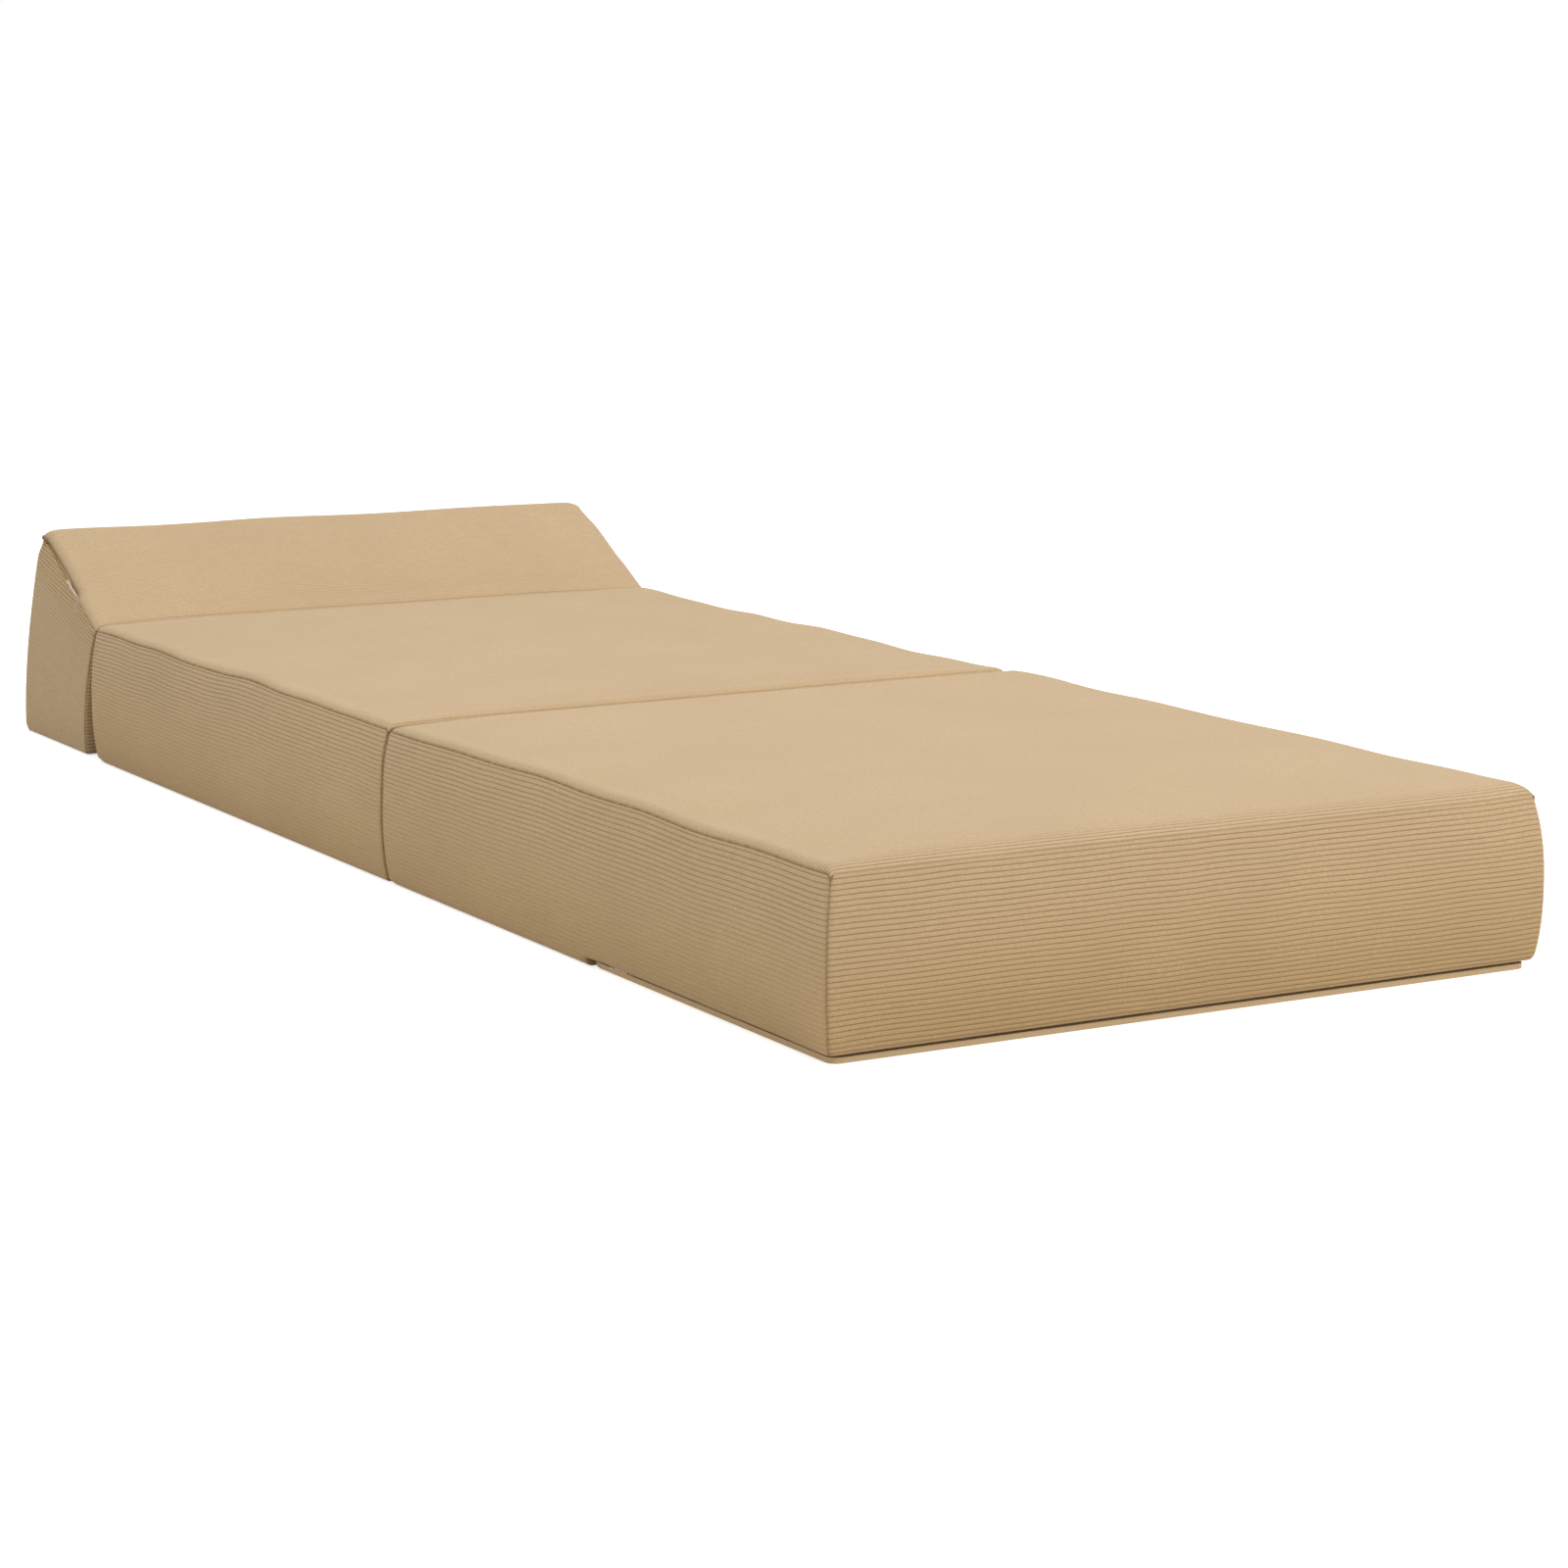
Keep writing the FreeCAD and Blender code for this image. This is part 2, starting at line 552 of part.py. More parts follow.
# The three zip runs and the frames of their sliders (outward, opening way, across the tapes).
FOOT_RUN = u_run(frame(Vector(0, FOOT_START, 0), X, Y, Z), FOOT_ZIP_LEG)
HEAD_RUN_FRAME = frame(RIDGE, X, UP_SLOPE * -1, SLOPE_NORMAL * -1)
HEAD_ZIP = u_run(HEAD_RUN_FRAME, HEAD_ZIP_LEG)
MID_ZIP_START = MID_START + MID_ZIP_END
MID_ZIP_STOP = HINGE_Y - MID_ZIP_END
MID_ZIP = side_run(MID_ZIP_START, MID_ZIP_STOP)

CHAIN_X = HALF - TAPE_PLANE
FOOT_SLIDER = Vector(-CHAIN_X, FOOT_START + FOOT_ZIP_LEG, CHAIN_LEVEL)
HEAD_SLIDER = Vector(-CHAIN_X, 0, 0) + RIDGE - UP_SLOPE * HEAD_ZIP_LEG - SLOPE_NORMAL * CHAIN_LEVEL
MID_SLIDER = Vector(CHAIN_X, MID_ZIP_START, CHAIN_LEVEL)


def opposite(point):
    return Vector(-point.x, point.y, point.z)


def build():
    parts = {}

    cover, foam = cover_and_core(
        lambda inset: block_form(FOOT_START, FOOT_START + FOOT_LENGTH, SIDE_BULGE, inset), FOOT_RUN)
    panels = block_panels(cover, FOOT_START, FOOT_START + FOOT_LENGTH)
    panels["base_panel"] = panels["base_panel"].cut(strip_rebate())
    parts.update(named("foot", panels))
    parts["foot_foam_core"] = foam
    parts.update(named("foot", zip_parts(
        FOOT_RUN,
        frame(FOOT_SLIDER, X * -1, Y * -1, Z),
        frame(opposite(FOOT_SLIDER), X, Y * -1, Z * -1),
        1)))

    cover, foam = cover_and_core(lambda inset: block_form(MID_START, HINGE_Y, 0, inset), MID_ZIP)
    panels = block_panels(cover, MID_START, HINGE_Y)
    panels["base_panel"] = panels["base_panel"].cut(strip_rebate())
    parts.update(named("mid", panels))
    parts["mid_foam_core"] = foam
    parts.update(named("mid", zip_parts(
        MID_ZIP,
        frame(MID_SLIDER, X, Y, Z),
        frame(Vector(CHAIN_X, MID_ZIP_STOP, CHAIN_LEVEL), X, Y * -1, Z * -1),
        1)))

    cover, foam = cover_and_core(wedge_form, HEAD_ZIP)
    parts.update(named("head", wedge_panels(cover, HEAD_ZIP)))
    parts["head_foam_core"] = foam
    parts.update(named("head", zip_parts(
        HEAD_ZIP,
        frame(HEAD_SLIDER, X * -1, UP_SLOPE, SLOPE_NORMAL * -1),
        frame(opposite(HEAD_SLIDER), X, UP_SLOPE, SLOPE_NORMAL),
        -1)))

    middle = FOOT_LENGTH + FOLD_GAP / 2
    parts["foot_hinge_strip"] = block(
        -HALF + FOOT_RADIUS, HALF - FOOT_RADIUS - ZIP_INSET,
        middle - FOOT_STRIP / 2, middle + FOOT_STRIP / 2, STRIP_LIFT, STRIP_LIFT + STRIP)
    parts["head_hinge_strip"] = block(
        -HALF + FOOT_RADIUS, HALF - FOOT_RADIUS,
        HINGE_Y, HINGE_Y + STRIP, SEAM_HEIGHT - HEAD_STRIP, SEAM_HEIGHT)
    return parts


def to_origin(shape):
    moved = shape.copy()
    moved.translate(Vector(0, -CENTRE_Y, 0))
    return moved


os.makedirs("parts", exist_ok=True)
for node, shape in build().items():
    solids = to_origin(shape).Solids
    final = solids[0] if len(solids) == 1 else Part.makeCompound(solids)
    print(node, len(solids), final.isValid(), round(final.Volume / 1000, 2))
    final.exportStep("parts/" + node + ".step")
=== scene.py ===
import math

import bmesh
import bpy
import numpy as np
from mathutils import Matrix, Vector
from mathutils.kdtree import KDTree

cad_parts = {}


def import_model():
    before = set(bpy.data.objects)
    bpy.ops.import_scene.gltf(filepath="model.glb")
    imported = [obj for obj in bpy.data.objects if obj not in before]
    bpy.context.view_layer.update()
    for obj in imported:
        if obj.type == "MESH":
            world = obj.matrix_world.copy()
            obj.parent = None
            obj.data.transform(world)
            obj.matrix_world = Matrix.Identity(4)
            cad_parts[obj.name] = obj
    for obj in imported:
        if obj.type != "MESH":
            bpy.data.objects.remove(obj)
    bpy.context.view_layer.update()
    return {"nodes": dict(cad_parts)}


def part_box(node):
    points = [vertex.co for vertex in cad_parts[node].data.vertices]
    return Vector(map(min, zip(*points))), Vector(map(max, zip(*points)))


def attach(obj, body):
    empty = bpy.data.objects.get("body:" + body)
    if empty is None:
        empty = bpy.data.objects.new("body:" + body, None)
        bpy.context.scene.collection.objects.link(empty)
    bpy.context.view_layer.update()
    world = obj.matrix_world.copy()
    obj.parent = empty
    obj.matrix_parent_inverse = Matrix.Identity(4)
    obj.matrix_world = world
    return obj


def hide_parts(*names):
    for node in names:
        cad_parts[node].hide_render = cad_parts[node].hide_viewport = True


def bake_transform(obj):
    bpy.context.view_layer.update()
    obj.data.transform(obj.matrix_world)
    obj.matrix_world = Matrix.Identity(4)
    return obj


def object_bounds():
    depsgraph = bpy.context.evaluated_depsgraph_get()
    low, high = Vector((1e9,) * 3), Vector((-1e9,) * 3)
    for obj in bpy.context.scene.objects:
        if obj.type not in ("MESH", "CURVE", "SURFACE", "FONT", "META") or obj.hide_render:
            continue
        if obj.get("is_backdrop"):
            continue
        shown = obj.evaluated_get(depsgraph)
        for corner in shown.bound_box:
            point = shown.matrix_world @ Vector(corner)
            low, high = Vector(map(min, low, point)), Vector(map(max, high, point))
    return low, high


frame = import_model()

# Folding mattress in beige corduroy: a foot block, a middle block and a head wedge.
# Everything is in metres, in the frame of the CAD model.

# ---- cloth ----
RIB = 0.0048  # pitch of the corduroy
RIB_DEPTH = 0.0013
RIB_SAMPLES = (0.0, 0.08, 0.21, 0.5, 0.79, 0.92)  # rows of vertices across a rib
RIB_FULLNESS = 4.2  # how wide the tops of the ribs are
RIB_WOBBLE = 0.0005  # how far the ribs wander sideways
RIB_UNEVEN = 0.12  # ribs differ in depth by this share
SEWN_FLAT = 0.005  # ribs flatten out over this length where they end in a seam
SEWN_SHARE = 0.35  # and keep this share of their depth there
# How strongly the ribs show, from 0 to 1. A rib that doesn't show keeps LEAST_DEPTH of its depth.
LEAST_DEPTH = 0.45
TOP_RELIEF = 0.14
END_RELIEF = 0.84
SLOPE_RELIEF = 0.26
SIDE_RELIEF = (0.18, 0.56)  # at the floor, and how much more at the seam
WEDGE_RELIEF = (0.12, 0.70)  # low down, and how much more at the seam
LOFT = 0.012  # rise of a top panel above its seams
CORNER_FILL = 5.0  # how full the corners of a top panel are
# Width and rise of the roll along an edge of a top panel.
FRONT_ROLL = (0.028, 0.009)  # at the outer end of the foot
TIGHT_ROLL = (0.012, 0.009)  # along the folds and the ridge
SIDE_ROLL = (0.012, 0.006)  # along the long seams
FULL_ROLL = (0.014, 0.009)  # along the right long seam of the foot
SOFT_ROLL = (0.040, 0.009)  # along the foot's side of the fold
SIDE_SWELL = 0.010  # a block's walls past their seams
SWELL_BELOW = 0.012  # the arc of that swell ends this far below the floor
SWELL_POWER = 2.4
WEDGE_SWELL = 0.007  # the wedge's sides
BACK_SWELL = 0.003  # and its back
FOOT_RADIUS = 0.004  # lower edges of the walls
CORNER_RADIUS = 0.005  # vertical corner seams at an outer end
FOLD_RADIUS = 0.004  # and at a fold
END_REACH = 0.12  # the swell of a wall draws the end of its neighbour along over this length
SEAM_DEPTH = 0.0014
SEAM_WIDTH = 0.0022
SEAM_SHADE_WIDTH = 0.0011  # half width of the line of painted shade in a seam
SEAM_SHADE_STRENGTH = (0.85, 0.14)  # how dark that painted shade is, and how much this varies
SEAM_SHADE_SPECK = 0.012  # length over which it varies
BLOCK_SHADE_FADE = 0.65  # the painted shade on a block's walls, deepest at the floor, fades by this much up to the seam
WEDGE_PAINTED_SHADE = 0.5  # how much of that painted shade the wedge's walls take, all over
# Depth of a panel's hidden back behind the plane of its seams.
BACK_LAYER = 0.009
TOP_LAYER = 0.006
SLOPE_LAYER = 0.0025
BASE_LAYER = 0.0008
BASE_EDGE = 0.0042  # the same for the foot's base: the height of its piped edge
HEM_TURN = (0.007, 0.003)  # height and depth of the turned edge above a zip
BASE_INSET = 0.0075  # sides of a base behind the seams
BASE_WIDER = 0.005  # the foot's base is this much wider on both sides under its zip
BASE_CORNER = 0.010  # radius of its front corners
BASE_LIFT = 0.0012  # bases above the floor at the fold, clear of the hinge cloth
BASE_LEVEL = 0.0003  # and away from it
BASE_REACH = 0.03
TAPE_PLANE = 0.0065  # middle of a zip's tapes behind the seams
CHAIN_CORNER = 0.0095  # radius of a zip's middle line where it turns

# ---- where the sections are ----
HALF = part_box("foot_back_panel")[1].x
SEAM_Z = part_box("foot_back_panel")[1].z
FOOT_Y = (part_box("foot_front_panel")[0].y + SIDE_SWELL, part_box("foot_back_panel")[1].y)
MID_Y = (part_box("mid_front_panel")[0].y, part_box("mid_back_panel")[1].y)
FOLD_Y = (FOOT_Y[1] + MID_Y[0]) / 2
VALLEY_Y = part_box("head_front_panel")[0].y
RIDGE_Y = MID_Y[1] + 0.188
RIDGE_Z = SEAM_Z + 0.093
WEDGE_FRONT_Y = MID_Y[1] + 0.049
WEDGE_BACK_Y = MID_Y[1] + 0.273
WEDGE_RIBS = math.radians(15)  # the ribs on the wedge's sides rise towards the back
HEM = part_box("foot_zip_upper_tape")[1].z  # height of the zip band
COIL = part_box("foot_zip_coil")[1].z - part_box("foot_zip_coil")[0].z
CHAIN_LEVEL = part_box("foot_zip_coil")[0].z + COIL / 2
BAND_MARGIN = 0.002  # a wall's foot is open this far past the ends of the tapes
FOOT_BAND_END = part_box("foot_zip_lower_tape")[1].y + BAND_MARGIN
MID_BAND = (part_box("mid_zip_lower_tape")[0].y - BAND_MARGIN,
            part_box("mid_zip_lower_tape")[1].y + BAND_MARGIN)
HEAD_BAND = 0.135  # length of the open band down the slanted seam
HEAD_LEG = 0.0965  # length of the chain down the slanted seam
ZIP_OPEN = (0.006, 0.004)  # the cloth is drawn in this much above and below the wedge's zip
ZIP_FADE = (0.04, 0.022)  # and this fades over these distances from it
ZIP_RIGHT = 0.25  # on the right side by only this share of that
# Length and height of the rounding under an end of a section.
UNDER_FOOT = (0.016, 0.006)
UNDER_MID_FRONT = (0.008, 0.003)
UNDER_MID_BACK = (0.022, 0.009)
UNDER_HEAD = (0.016, 0.012)
# Height and length of the waves in a line.
SEAM_WAVE = (0.0016, 0.16)  # the long seams
GAP_WAVE = (0.0016, 0.06)  # where the two blocks meet
RIDGE_WAVE = (0.001, 0.2)
SEAM_REACH = 0.12  # the waves of a long seam reach this far into the top
GAP_REACH = 0.03  # and those of the fold this far into the blocks
CREASES = ((-0.505, 0.22), (-0.480, 0.30))  # of each its Y at CREASE_LEVEL, and its lean
CREASE_LEVEL = 0.03
CREASE_MIDDLE = 0.028  # height of the deepest place
CREASE_SIZE = (0.006, 0.02, 0.0022)  # half width, half length and depth
RIDGE_LIFT = 0.007  # the filling holds the ridge above its seam line
RIDGE_DROOP = (0.002, 0.007)  # the left and right ends of the ridge hang down this much
FRONT_LIFT = 0.003  # the filling stands higher towards the front and the right
LIFT_LOSS = 0.7  # share of the rise to the right that is lost towards the wedge
CORNER_LIFT = 0.0035  # it is highest at the front right corner
CORNER_REACH = 0.055

X = np.array([1.0, 0.0, 0.0])
Y = np.array([0.0, 1.0, 0.0])
Z = np.array([0.0, 0.0, 1.0])


def point(x, y, z):
    return np.array([x, y, z], float)


def unit(vector):
    return vector / np.linalg.norm(vector)


SLANT = unit(point(0, RIDGE_Y - VALLEY_Y, RIDGE_Z - SEAM_Z))
SLOPE_OUT = point(0, -SLANT[2], SLANT[1])


def smooth(t):
    t = np.clip(t, 0, 1)
    return t * t * (3 - 2 * t)


def ripple(x, y, size, seed):
    """Soft random field of about -1 to 1, with features of the given size."""
    random = np.random.default_rng(seed)
    total = np.zeros(np.broadcast(x, y).shape)
    for _ in range(7):
        angle, phase = random.uniform(0, 2 * math.pi, 2)
        wave = 2 * math.pi / (size * random.uniform(0.8, 1.9))
        total += np.sin(wave * (x * math.cos(angle) + y * math.sin(angle)) + phase)
    return total / 3.2


# ---- swelling of the walls ----
def turned_in(t, depth):
    """A quarter of a turn: nothing up to t = 0, the full depth from t = 1 on."""
    return depth * (1 - np.sqrt(1 - np.clip(t, 0, 1) ** 2))


def bottom_drop(z):
    """How far a wall turns in at height z, where it rounds under to the floor."""
    return turned_in(1 - z / FOOT_RADIUS, FOOT_RADIUS)


def hem_turn(z):
    """How far a zipped wall turns in just above its zip."""
    return turned_in(1 - (z - HEM) / HEM_TURN[0], HEM_TURN[1])


def block_swell(amount):
    """Swell of a block's wall at height z, full at mid height and still some at the floor."""
    def swell(z):
        place = 2 * (z + SWELL_BELOW) / (SEAM_Z + SWELL_BELOW) - 1
        return amount * (1 - np.abs(place) ** SWELL_POWER)
    return swell


def seam_height(y):
    """Height of the wedge's slanted seam."""
    share = np.clip((y - VALLEY_Y) / (RIDGE_Y - VALLEY_Y), 0, 1)
    return SEAM_Z + share * (RIDGE_Z - SEAM_Z)


def wedge_swell(amount):
    """Swell of the wedge's walls at a height z where their upper seam is at height top."""
    return lambda z, top: amount * np.clip(4 * (z / top) * (1 - z / top), 0, 1) ** 0.8


def corner_drop(distance, radius):
    """Rounding of a vertical corner, as far as its seam."""
    reach = radius * math.sqrt(0.5)
    t = np.clip(reach - distance, 0, reach)
    return radius - np.sqrt(radius ** 2 - t ** 2)


def corner_loss(radius):
    """How far inside the sharp corner the seam of a rounded corner lies."""
    return radius * (1 - math.sqrt(0.5))


def roll_share(distance, width, rise):
    """Share of a roll's rise at a distance from its seam: an arc, level where the roll ends."""
    radius = (width ** 2 + rise ** 2) / (2 * rise)
    t = np.clip(width - distance, 0, width)
    return 1 - (radius - np.sqrt(radius ** 2 - t ** 2)) / rise


def lofted(near, far, near_roll, far_roll):
    """Height of a top panel between two opposite seams: a roll at each and a crown between."""
    t = np.clip((near - near_roll[0]) / (near + far - near_roll[0] - far_roll[0]), 0, 1)
    rise = near_roll[1] * (1 - t) + far_roll[1] * t
    rolled = rise * roll_share(near, *near_roll) * roll_share(far, *far_roll)
    return rolled + (LOFT - rise) * 4 * t * (1 - t)


def joined(across, along):
    """Height of a panel from its heights across and along, full to the corners."""
    lack = (1 - across / LOFT) ** CORNER_FILL + (1 - along / LOFT) ** CORNER_FILL
    return LOFT * np.maximum(1 - lack ** (1 / CORNER_FILL), 0)


# ---- panels ----
class Panel:
    """A panel of cloth over a flat quad.

    corners go round the quad: its first, end, last and start edges follow each other. The ribs
    run along `ribs`, and `out` is the outward normal. swell(points), rolls and rounded_foot say
    how the surface leaves the plane. ends(z) is the swell of the walls at the start and the end,
    which draw this panel along `along`, and radii are those of its corner seams. The mesh covers
    `window`, a part of the quad, without the faces in cut(points). It gets a row or a column of
    vertices at the distances rows_at and columns_at from the first and the start edges, and a
    flat back at `depth`. warp(points) moves the finished surface, relief(points) says how
    strongly the ribs show, and seam_shade_lines how strong the painted shade along each edge is.
    """

    swell = along = rolls = cut = window = warp = relief = moved = None
    ends = (None, None)
    radii = (CORNER_RADIUS, CORNER_RADIUS)
    rounded_foot = pinned = plain = False
    rows_at = columns_at = ()
    depth = BACK_LAYER
    seam_shade_lines = (1, 1, 1, 1)
    seed = 0

    def __init__(self, name, corners, ribs, out, **facts):
        self.name = name
        vars(self).update(facts)
        self.corners = [np.asarray(c, float) for c in corners]
        self.u = unit(ribs)
        self.n = unit(out)
        self.v = unit(np.cross(self.n, self.u))
        first = self.corners[0]
        if (self.corners[2] - first) @ self.v < 0:
            self.v = -self.v
        self.flip = np.cross(self.u, self.v) @ self.n < 0
        self.quad = self.flat(self.corners)
        self.window = self.quad if self.window is None else self.flat(self.window)

    # -- the flat quad
    def flat(self, points):
        away = [p - self.corners[0] for p in points]
        return np.array([[p @ self.u, p @ self.v] for p in away])

    def at(self, a, b):
        """(u, v) of bilinear coordinates a, b."""
        a = np.asarray(a)[..., None]
        b = np.asarray(b)[..., None]
        q = self.quad
        return q[0] * (1 - a) * (1 - b) + q[1] * a * (1 - b) + q[2] * a * b + q[3] * (1 - a) * b

    def bilinear(self, uv):
        """a, b of points in the plane, by Newton's method."""
        q = self.quad
        a = np.full(uv.shape[:-1], 0.5)
        b = np.full(uv.shape[:-1], 0.5)
        for _ in range(8):
            miss = self.at(a, b) - uv
            da = (q[1] - q[0]) * (1 - b[..., None]) + (q[2] - q[3]) * b[..., None]
            db = (q[3] - q[0]) * (1 - a[..., None]) + (q[2] - q[1]) * a[..., None]
            det = da[..., 0] * db[..., 1] - da[..., 1] * db[..., 0]
            a = a - (miss[..., 0] * db[..., 1] - miss[..., 1] * db[..., 0]) / det
            b = b - (miss[..., 1] * da[..., 0] - miss[..., 0] * da[..., 1]) / det
        return np.clip(a, 0, 1), np.clip(b, 0, 1)

    def edge_distances(self, uv):
        """Distances to the first, end, last and start edges."""
        found = []
        for i in range(4):
            p, q = self.quad[i], self.quad[(i + 1) % 4]
            along = (q - p) / np.linalg.norm(q - p)
            away = uv - p
            found.append(np.abs(away[..., 0] * along[1] - away[..., 1] * along[0]))
        return found

    def painted_seam_shade(self, uv):
        """How much painted shade a seam line puts at a point: 1 in the seam, 0 away from it."""
        seam_shade_share = np.zeros(uv.shape[:-1])
        for distance, strength in zip(self.edge_distances(uv), self.seam_shade_lines):
            seam_shade_share = np.maximum(seam_shade_share, strength * np.exp(-(distance / SEAM_SHADE_WIDTH) ** 2))
        uneven = ripple(uv[..., 0], uv[..., 1], SEAM_SHADE_SPECK, self.seed + 70)
        return np.clip(seam_shade_share * (SEAM_SHADE_STRENGTH[0] + SEAM_SHADE_STRENGTH[1] * uneven), 0, 1)

    # -- the padded surface
    def surface(self, uv, seams=True):
        """Points of the padded surface over (u, v), without ribs."""
        uv = np.asarray(uv, float)
        flat = self.corners[0] + uv[..., :1] * self.u + uv[..., 1:] * self.v
        a, b = self.bilinear(uv)
        first, end, last, start = self.edge_distances(uv)
        height = np.zeros(uv.shape[:-1])
        slide = np.zeros(uv.shape[:-1] + (3,))
        if self.rolls:
            across = lofted(start, end, self.rolls[3], self.rolls[1])
            along = lofted(first, last, self.rolls[0], self.rolls[2])
            height = height + joined(across, along)
        if self.swell:
            height = height + self.swell(flat)
        if self.rounded_foot:
            height = height - bottom_drop(flat[..., 2])
        for side, distance, sign in ((1, end, 1), (0, start, -1)):
            beyond = self.ends[side]
            if beyond is None:
                continue
            radius = self.radii[side]
            span = np.abs(self.quad[1] - self.quad[0]).max()
            share = a if side else 1 - a
            offset = beyond(flat[..., 2]) - corner_loss(radius)
            direction = self.along * sign
            reach = np.clip(1 - (1 - share) * span / min(END_REACH, span / 2), 0, 1)
            slide = slide + (offset * smooth(reach))[..., None] * direction
            height = height - corner_drop(distance, radius)
        if seams:
            for distance in (first, end, last, start):
                height = height - SEAM_DEPTH * np.exp(-(distance / SEAM_WIDTH) ** 2)
        points = flat + height[..., None] * self.n + slide
        if self.moved is not None:
            points = points + upsample(self.moved, a, b)
        if self.warp:
            points = points + self.warp(points)
        return points

    def coarse(self, across, along):
        a, b = np.meshgrid(np.linspace(0, 1, across + 1), np.linspace(0, 1, along + 1))
        return self.surface(self.at(a, b), seams=False)

    # -- the ribbed mesh
    def rows(self):
        """v of every row and its place in the rib, spaced along the surface."""
        low, high = self.window[:, 1].min(), self.window[:, 1].max()
        fine = np.linspace(low, high, 1500)
        ends = np.array([self.span(v) for v in fine])
        middle = ends.mean(axis=1)
        path = self.surface(np.stack([middle, fine], axis=1), seams=False)
        if np.ptp(middle) > 0.001:
            path = path @ np.stack([self.v, self.n]).T
        length = np.concatenate([[0], np.cumsum(np.linalg.norm(np.diff(path, axis=0), axis=1))])
        count = int(length[-1] / RIB)
        gap = 0.0002
        places = [(k + s) * RIB for k in range(count + 1) for s in RIB_SAMPLES]
        places = [p for p in places if gap < p < length[-1] - gap] + [0.0, length[-1]]
        places = np.array(sorted(places))
        v = np.interp(places, length, fine)
        for row in self.rows_at:
            v[np.abs(v - row).argmin()] = row
        return v, (places / RIB) % 1

    def span(self, v):
        """First and last u of the row at v."""
        q = self.window
        crossings = []
        for i in range(4):
            p, r = q[i], q[(i + 1) % 4]
            low, high = min(p[1], r[1]), max(p[1], r[1])
            if high - low < 1e-9:
                if abs(v - low) < 1e-7:
                    crossings += [p[0], r[0]]
            elif low - 1e-9 <= v <= high + 1e-9:
                crossings.append(p[0] + (r[0] - p[0]) * (v - p[1]) / (r[1] - p[1]))
        return min(crossings), max(crossings)

    def columns(self, step):
        """Shares along a row: close together near both ends, even in the middle."""
        width = np.ptp(self.window[:, 0])
        near = np.array([0, 0.6, 1.3, 2.2, 3.6, 5.6, 8.5, 12, 17, 23, 30]) / 1000
        middle = max(2, int((width - 2 * near[-1]) / step))
        between = np.linspace(near[-1], width - near[-1], middle + 1)[1:-1]
        places = np.concatenate([near, between, width - near[::-1]])
        for place in self.columns_at:
            places[np.abs(places - place).argmin()] = place
        return np.sort(places) / width


def upsample(grid, a, b):
    """Cubic interpolation of a grid of vectors at shares a (across) and b (along)."""
    def weights(share, count):
        place = np.clip(share, 0, 1) * (count - 1)
        cell = np.clip(np.floor(place).astype(int), 0, count - 2)
        t = place - cell
        w = np.stack([
            -0.5 * t + t ** 2 - 0.5 * t ** 3,
            1 - 2.5 * t ** 2 + 1.5 * t ** 3,
            0.5 * t + 2 * t ** 2 - 1.5 * t ** 3,
            -0.5 * t ** 2 + 0.5 * t ** 3,
        ])
        index = np.clip(np.stack([cell - 1, cell, cell + 1, cell + 2]), 0, count - 1)
        return w, index
    wa, ia = weights(a, grid.shape[1])
    wb, ib = weights(b, grid.shape[0])
    total = 0
    for i in range(4):
        for j in range(4):
            total = total + (wa[i] * wb[j])[..., None] * grid[ib[j], ia[i]]
    return total


def normals_of(points, outward):
    across = np.gradient(points, axis=1)
    along = np.gradient(points, axis=0)
    normals = np.cross(across, along)
    normals /= np.maximum(np.linalg.norm(normals, axis=2), 1e-12)[..., None]
    return np.where((normals @ outward)[..., None] < 0, -normals, normals)


def ribbed_mesh(panel):
    """Closed mesh of a panel: ribbed face, rim and a flat back."""
    v, place = panel.rows()
    shares = panel.columns(GRID)
    ends = np.array([panel.span(x) for x in v])
    u = ends[:, :1] + (ends[:, 1:] - ends[:, :1]) * shares[None, :]
    vv = np.repeat(v[:, None], len(shares), axis=1)
    wander = RIB_WOBBLE * ripple(u, vv, 0.09, panel.seed + 50)
    low, high = v[0], v[-1]
    wander *= np.clip(np.minimum(vv - low, high - vv) / 0.01, 0, 1)
    uv = np.stack([u, vv + wander], axis=2)
    surface = panel.surface(uv)
    rib = 1 - np.abs(2 * place - 1) ** RIB_FULLNESS
    for row, level in ((0, v[0]), (-1, v[-1])):
        on_seam = np.abs(panel.quad[:, 1] - level).min() < 0.0005
        rib[row] = 0 if on_seam else 1
    rib = np.repeat(rib[:, None], len(shares), axis=1)
    relief = panel.relief(surface) if panel.relief else np.ones_like(rib)
    depth = RIB_DEPTH * (1 + RIB_UNEVEN * ripple(uv[..., 0], uv[..., 1], 0.03, panel.seed + 9))
    sewn = np.minimum(*panel.edge_distances(uv)[1::2])
    depth = depth * (LEAST_DEPTH + (1 - LEAST_DEPTH) * relief)
    depth = depth * (SEWN_SHARE + (1 - SEWN_SHARE) * smooth(sewn / SEWN_FLAT))
    surface = surface - (depth * (1 - rib))[..., None] * normals_of(surface, panel.n)
    # Where the ribs show less, as low on the long sides, their darker grooves fade too; that darkness
    # is partly the cloth's ground, partly painted shade.
    rib = 1 - relief * (1 - rib)
    # Painted shade along the seams.
    seam_shade_share = panel.painted_seam_shade(uv)

    return closed_shell(panel, surface, rib.ravel(), seam_shade_share.ravel())


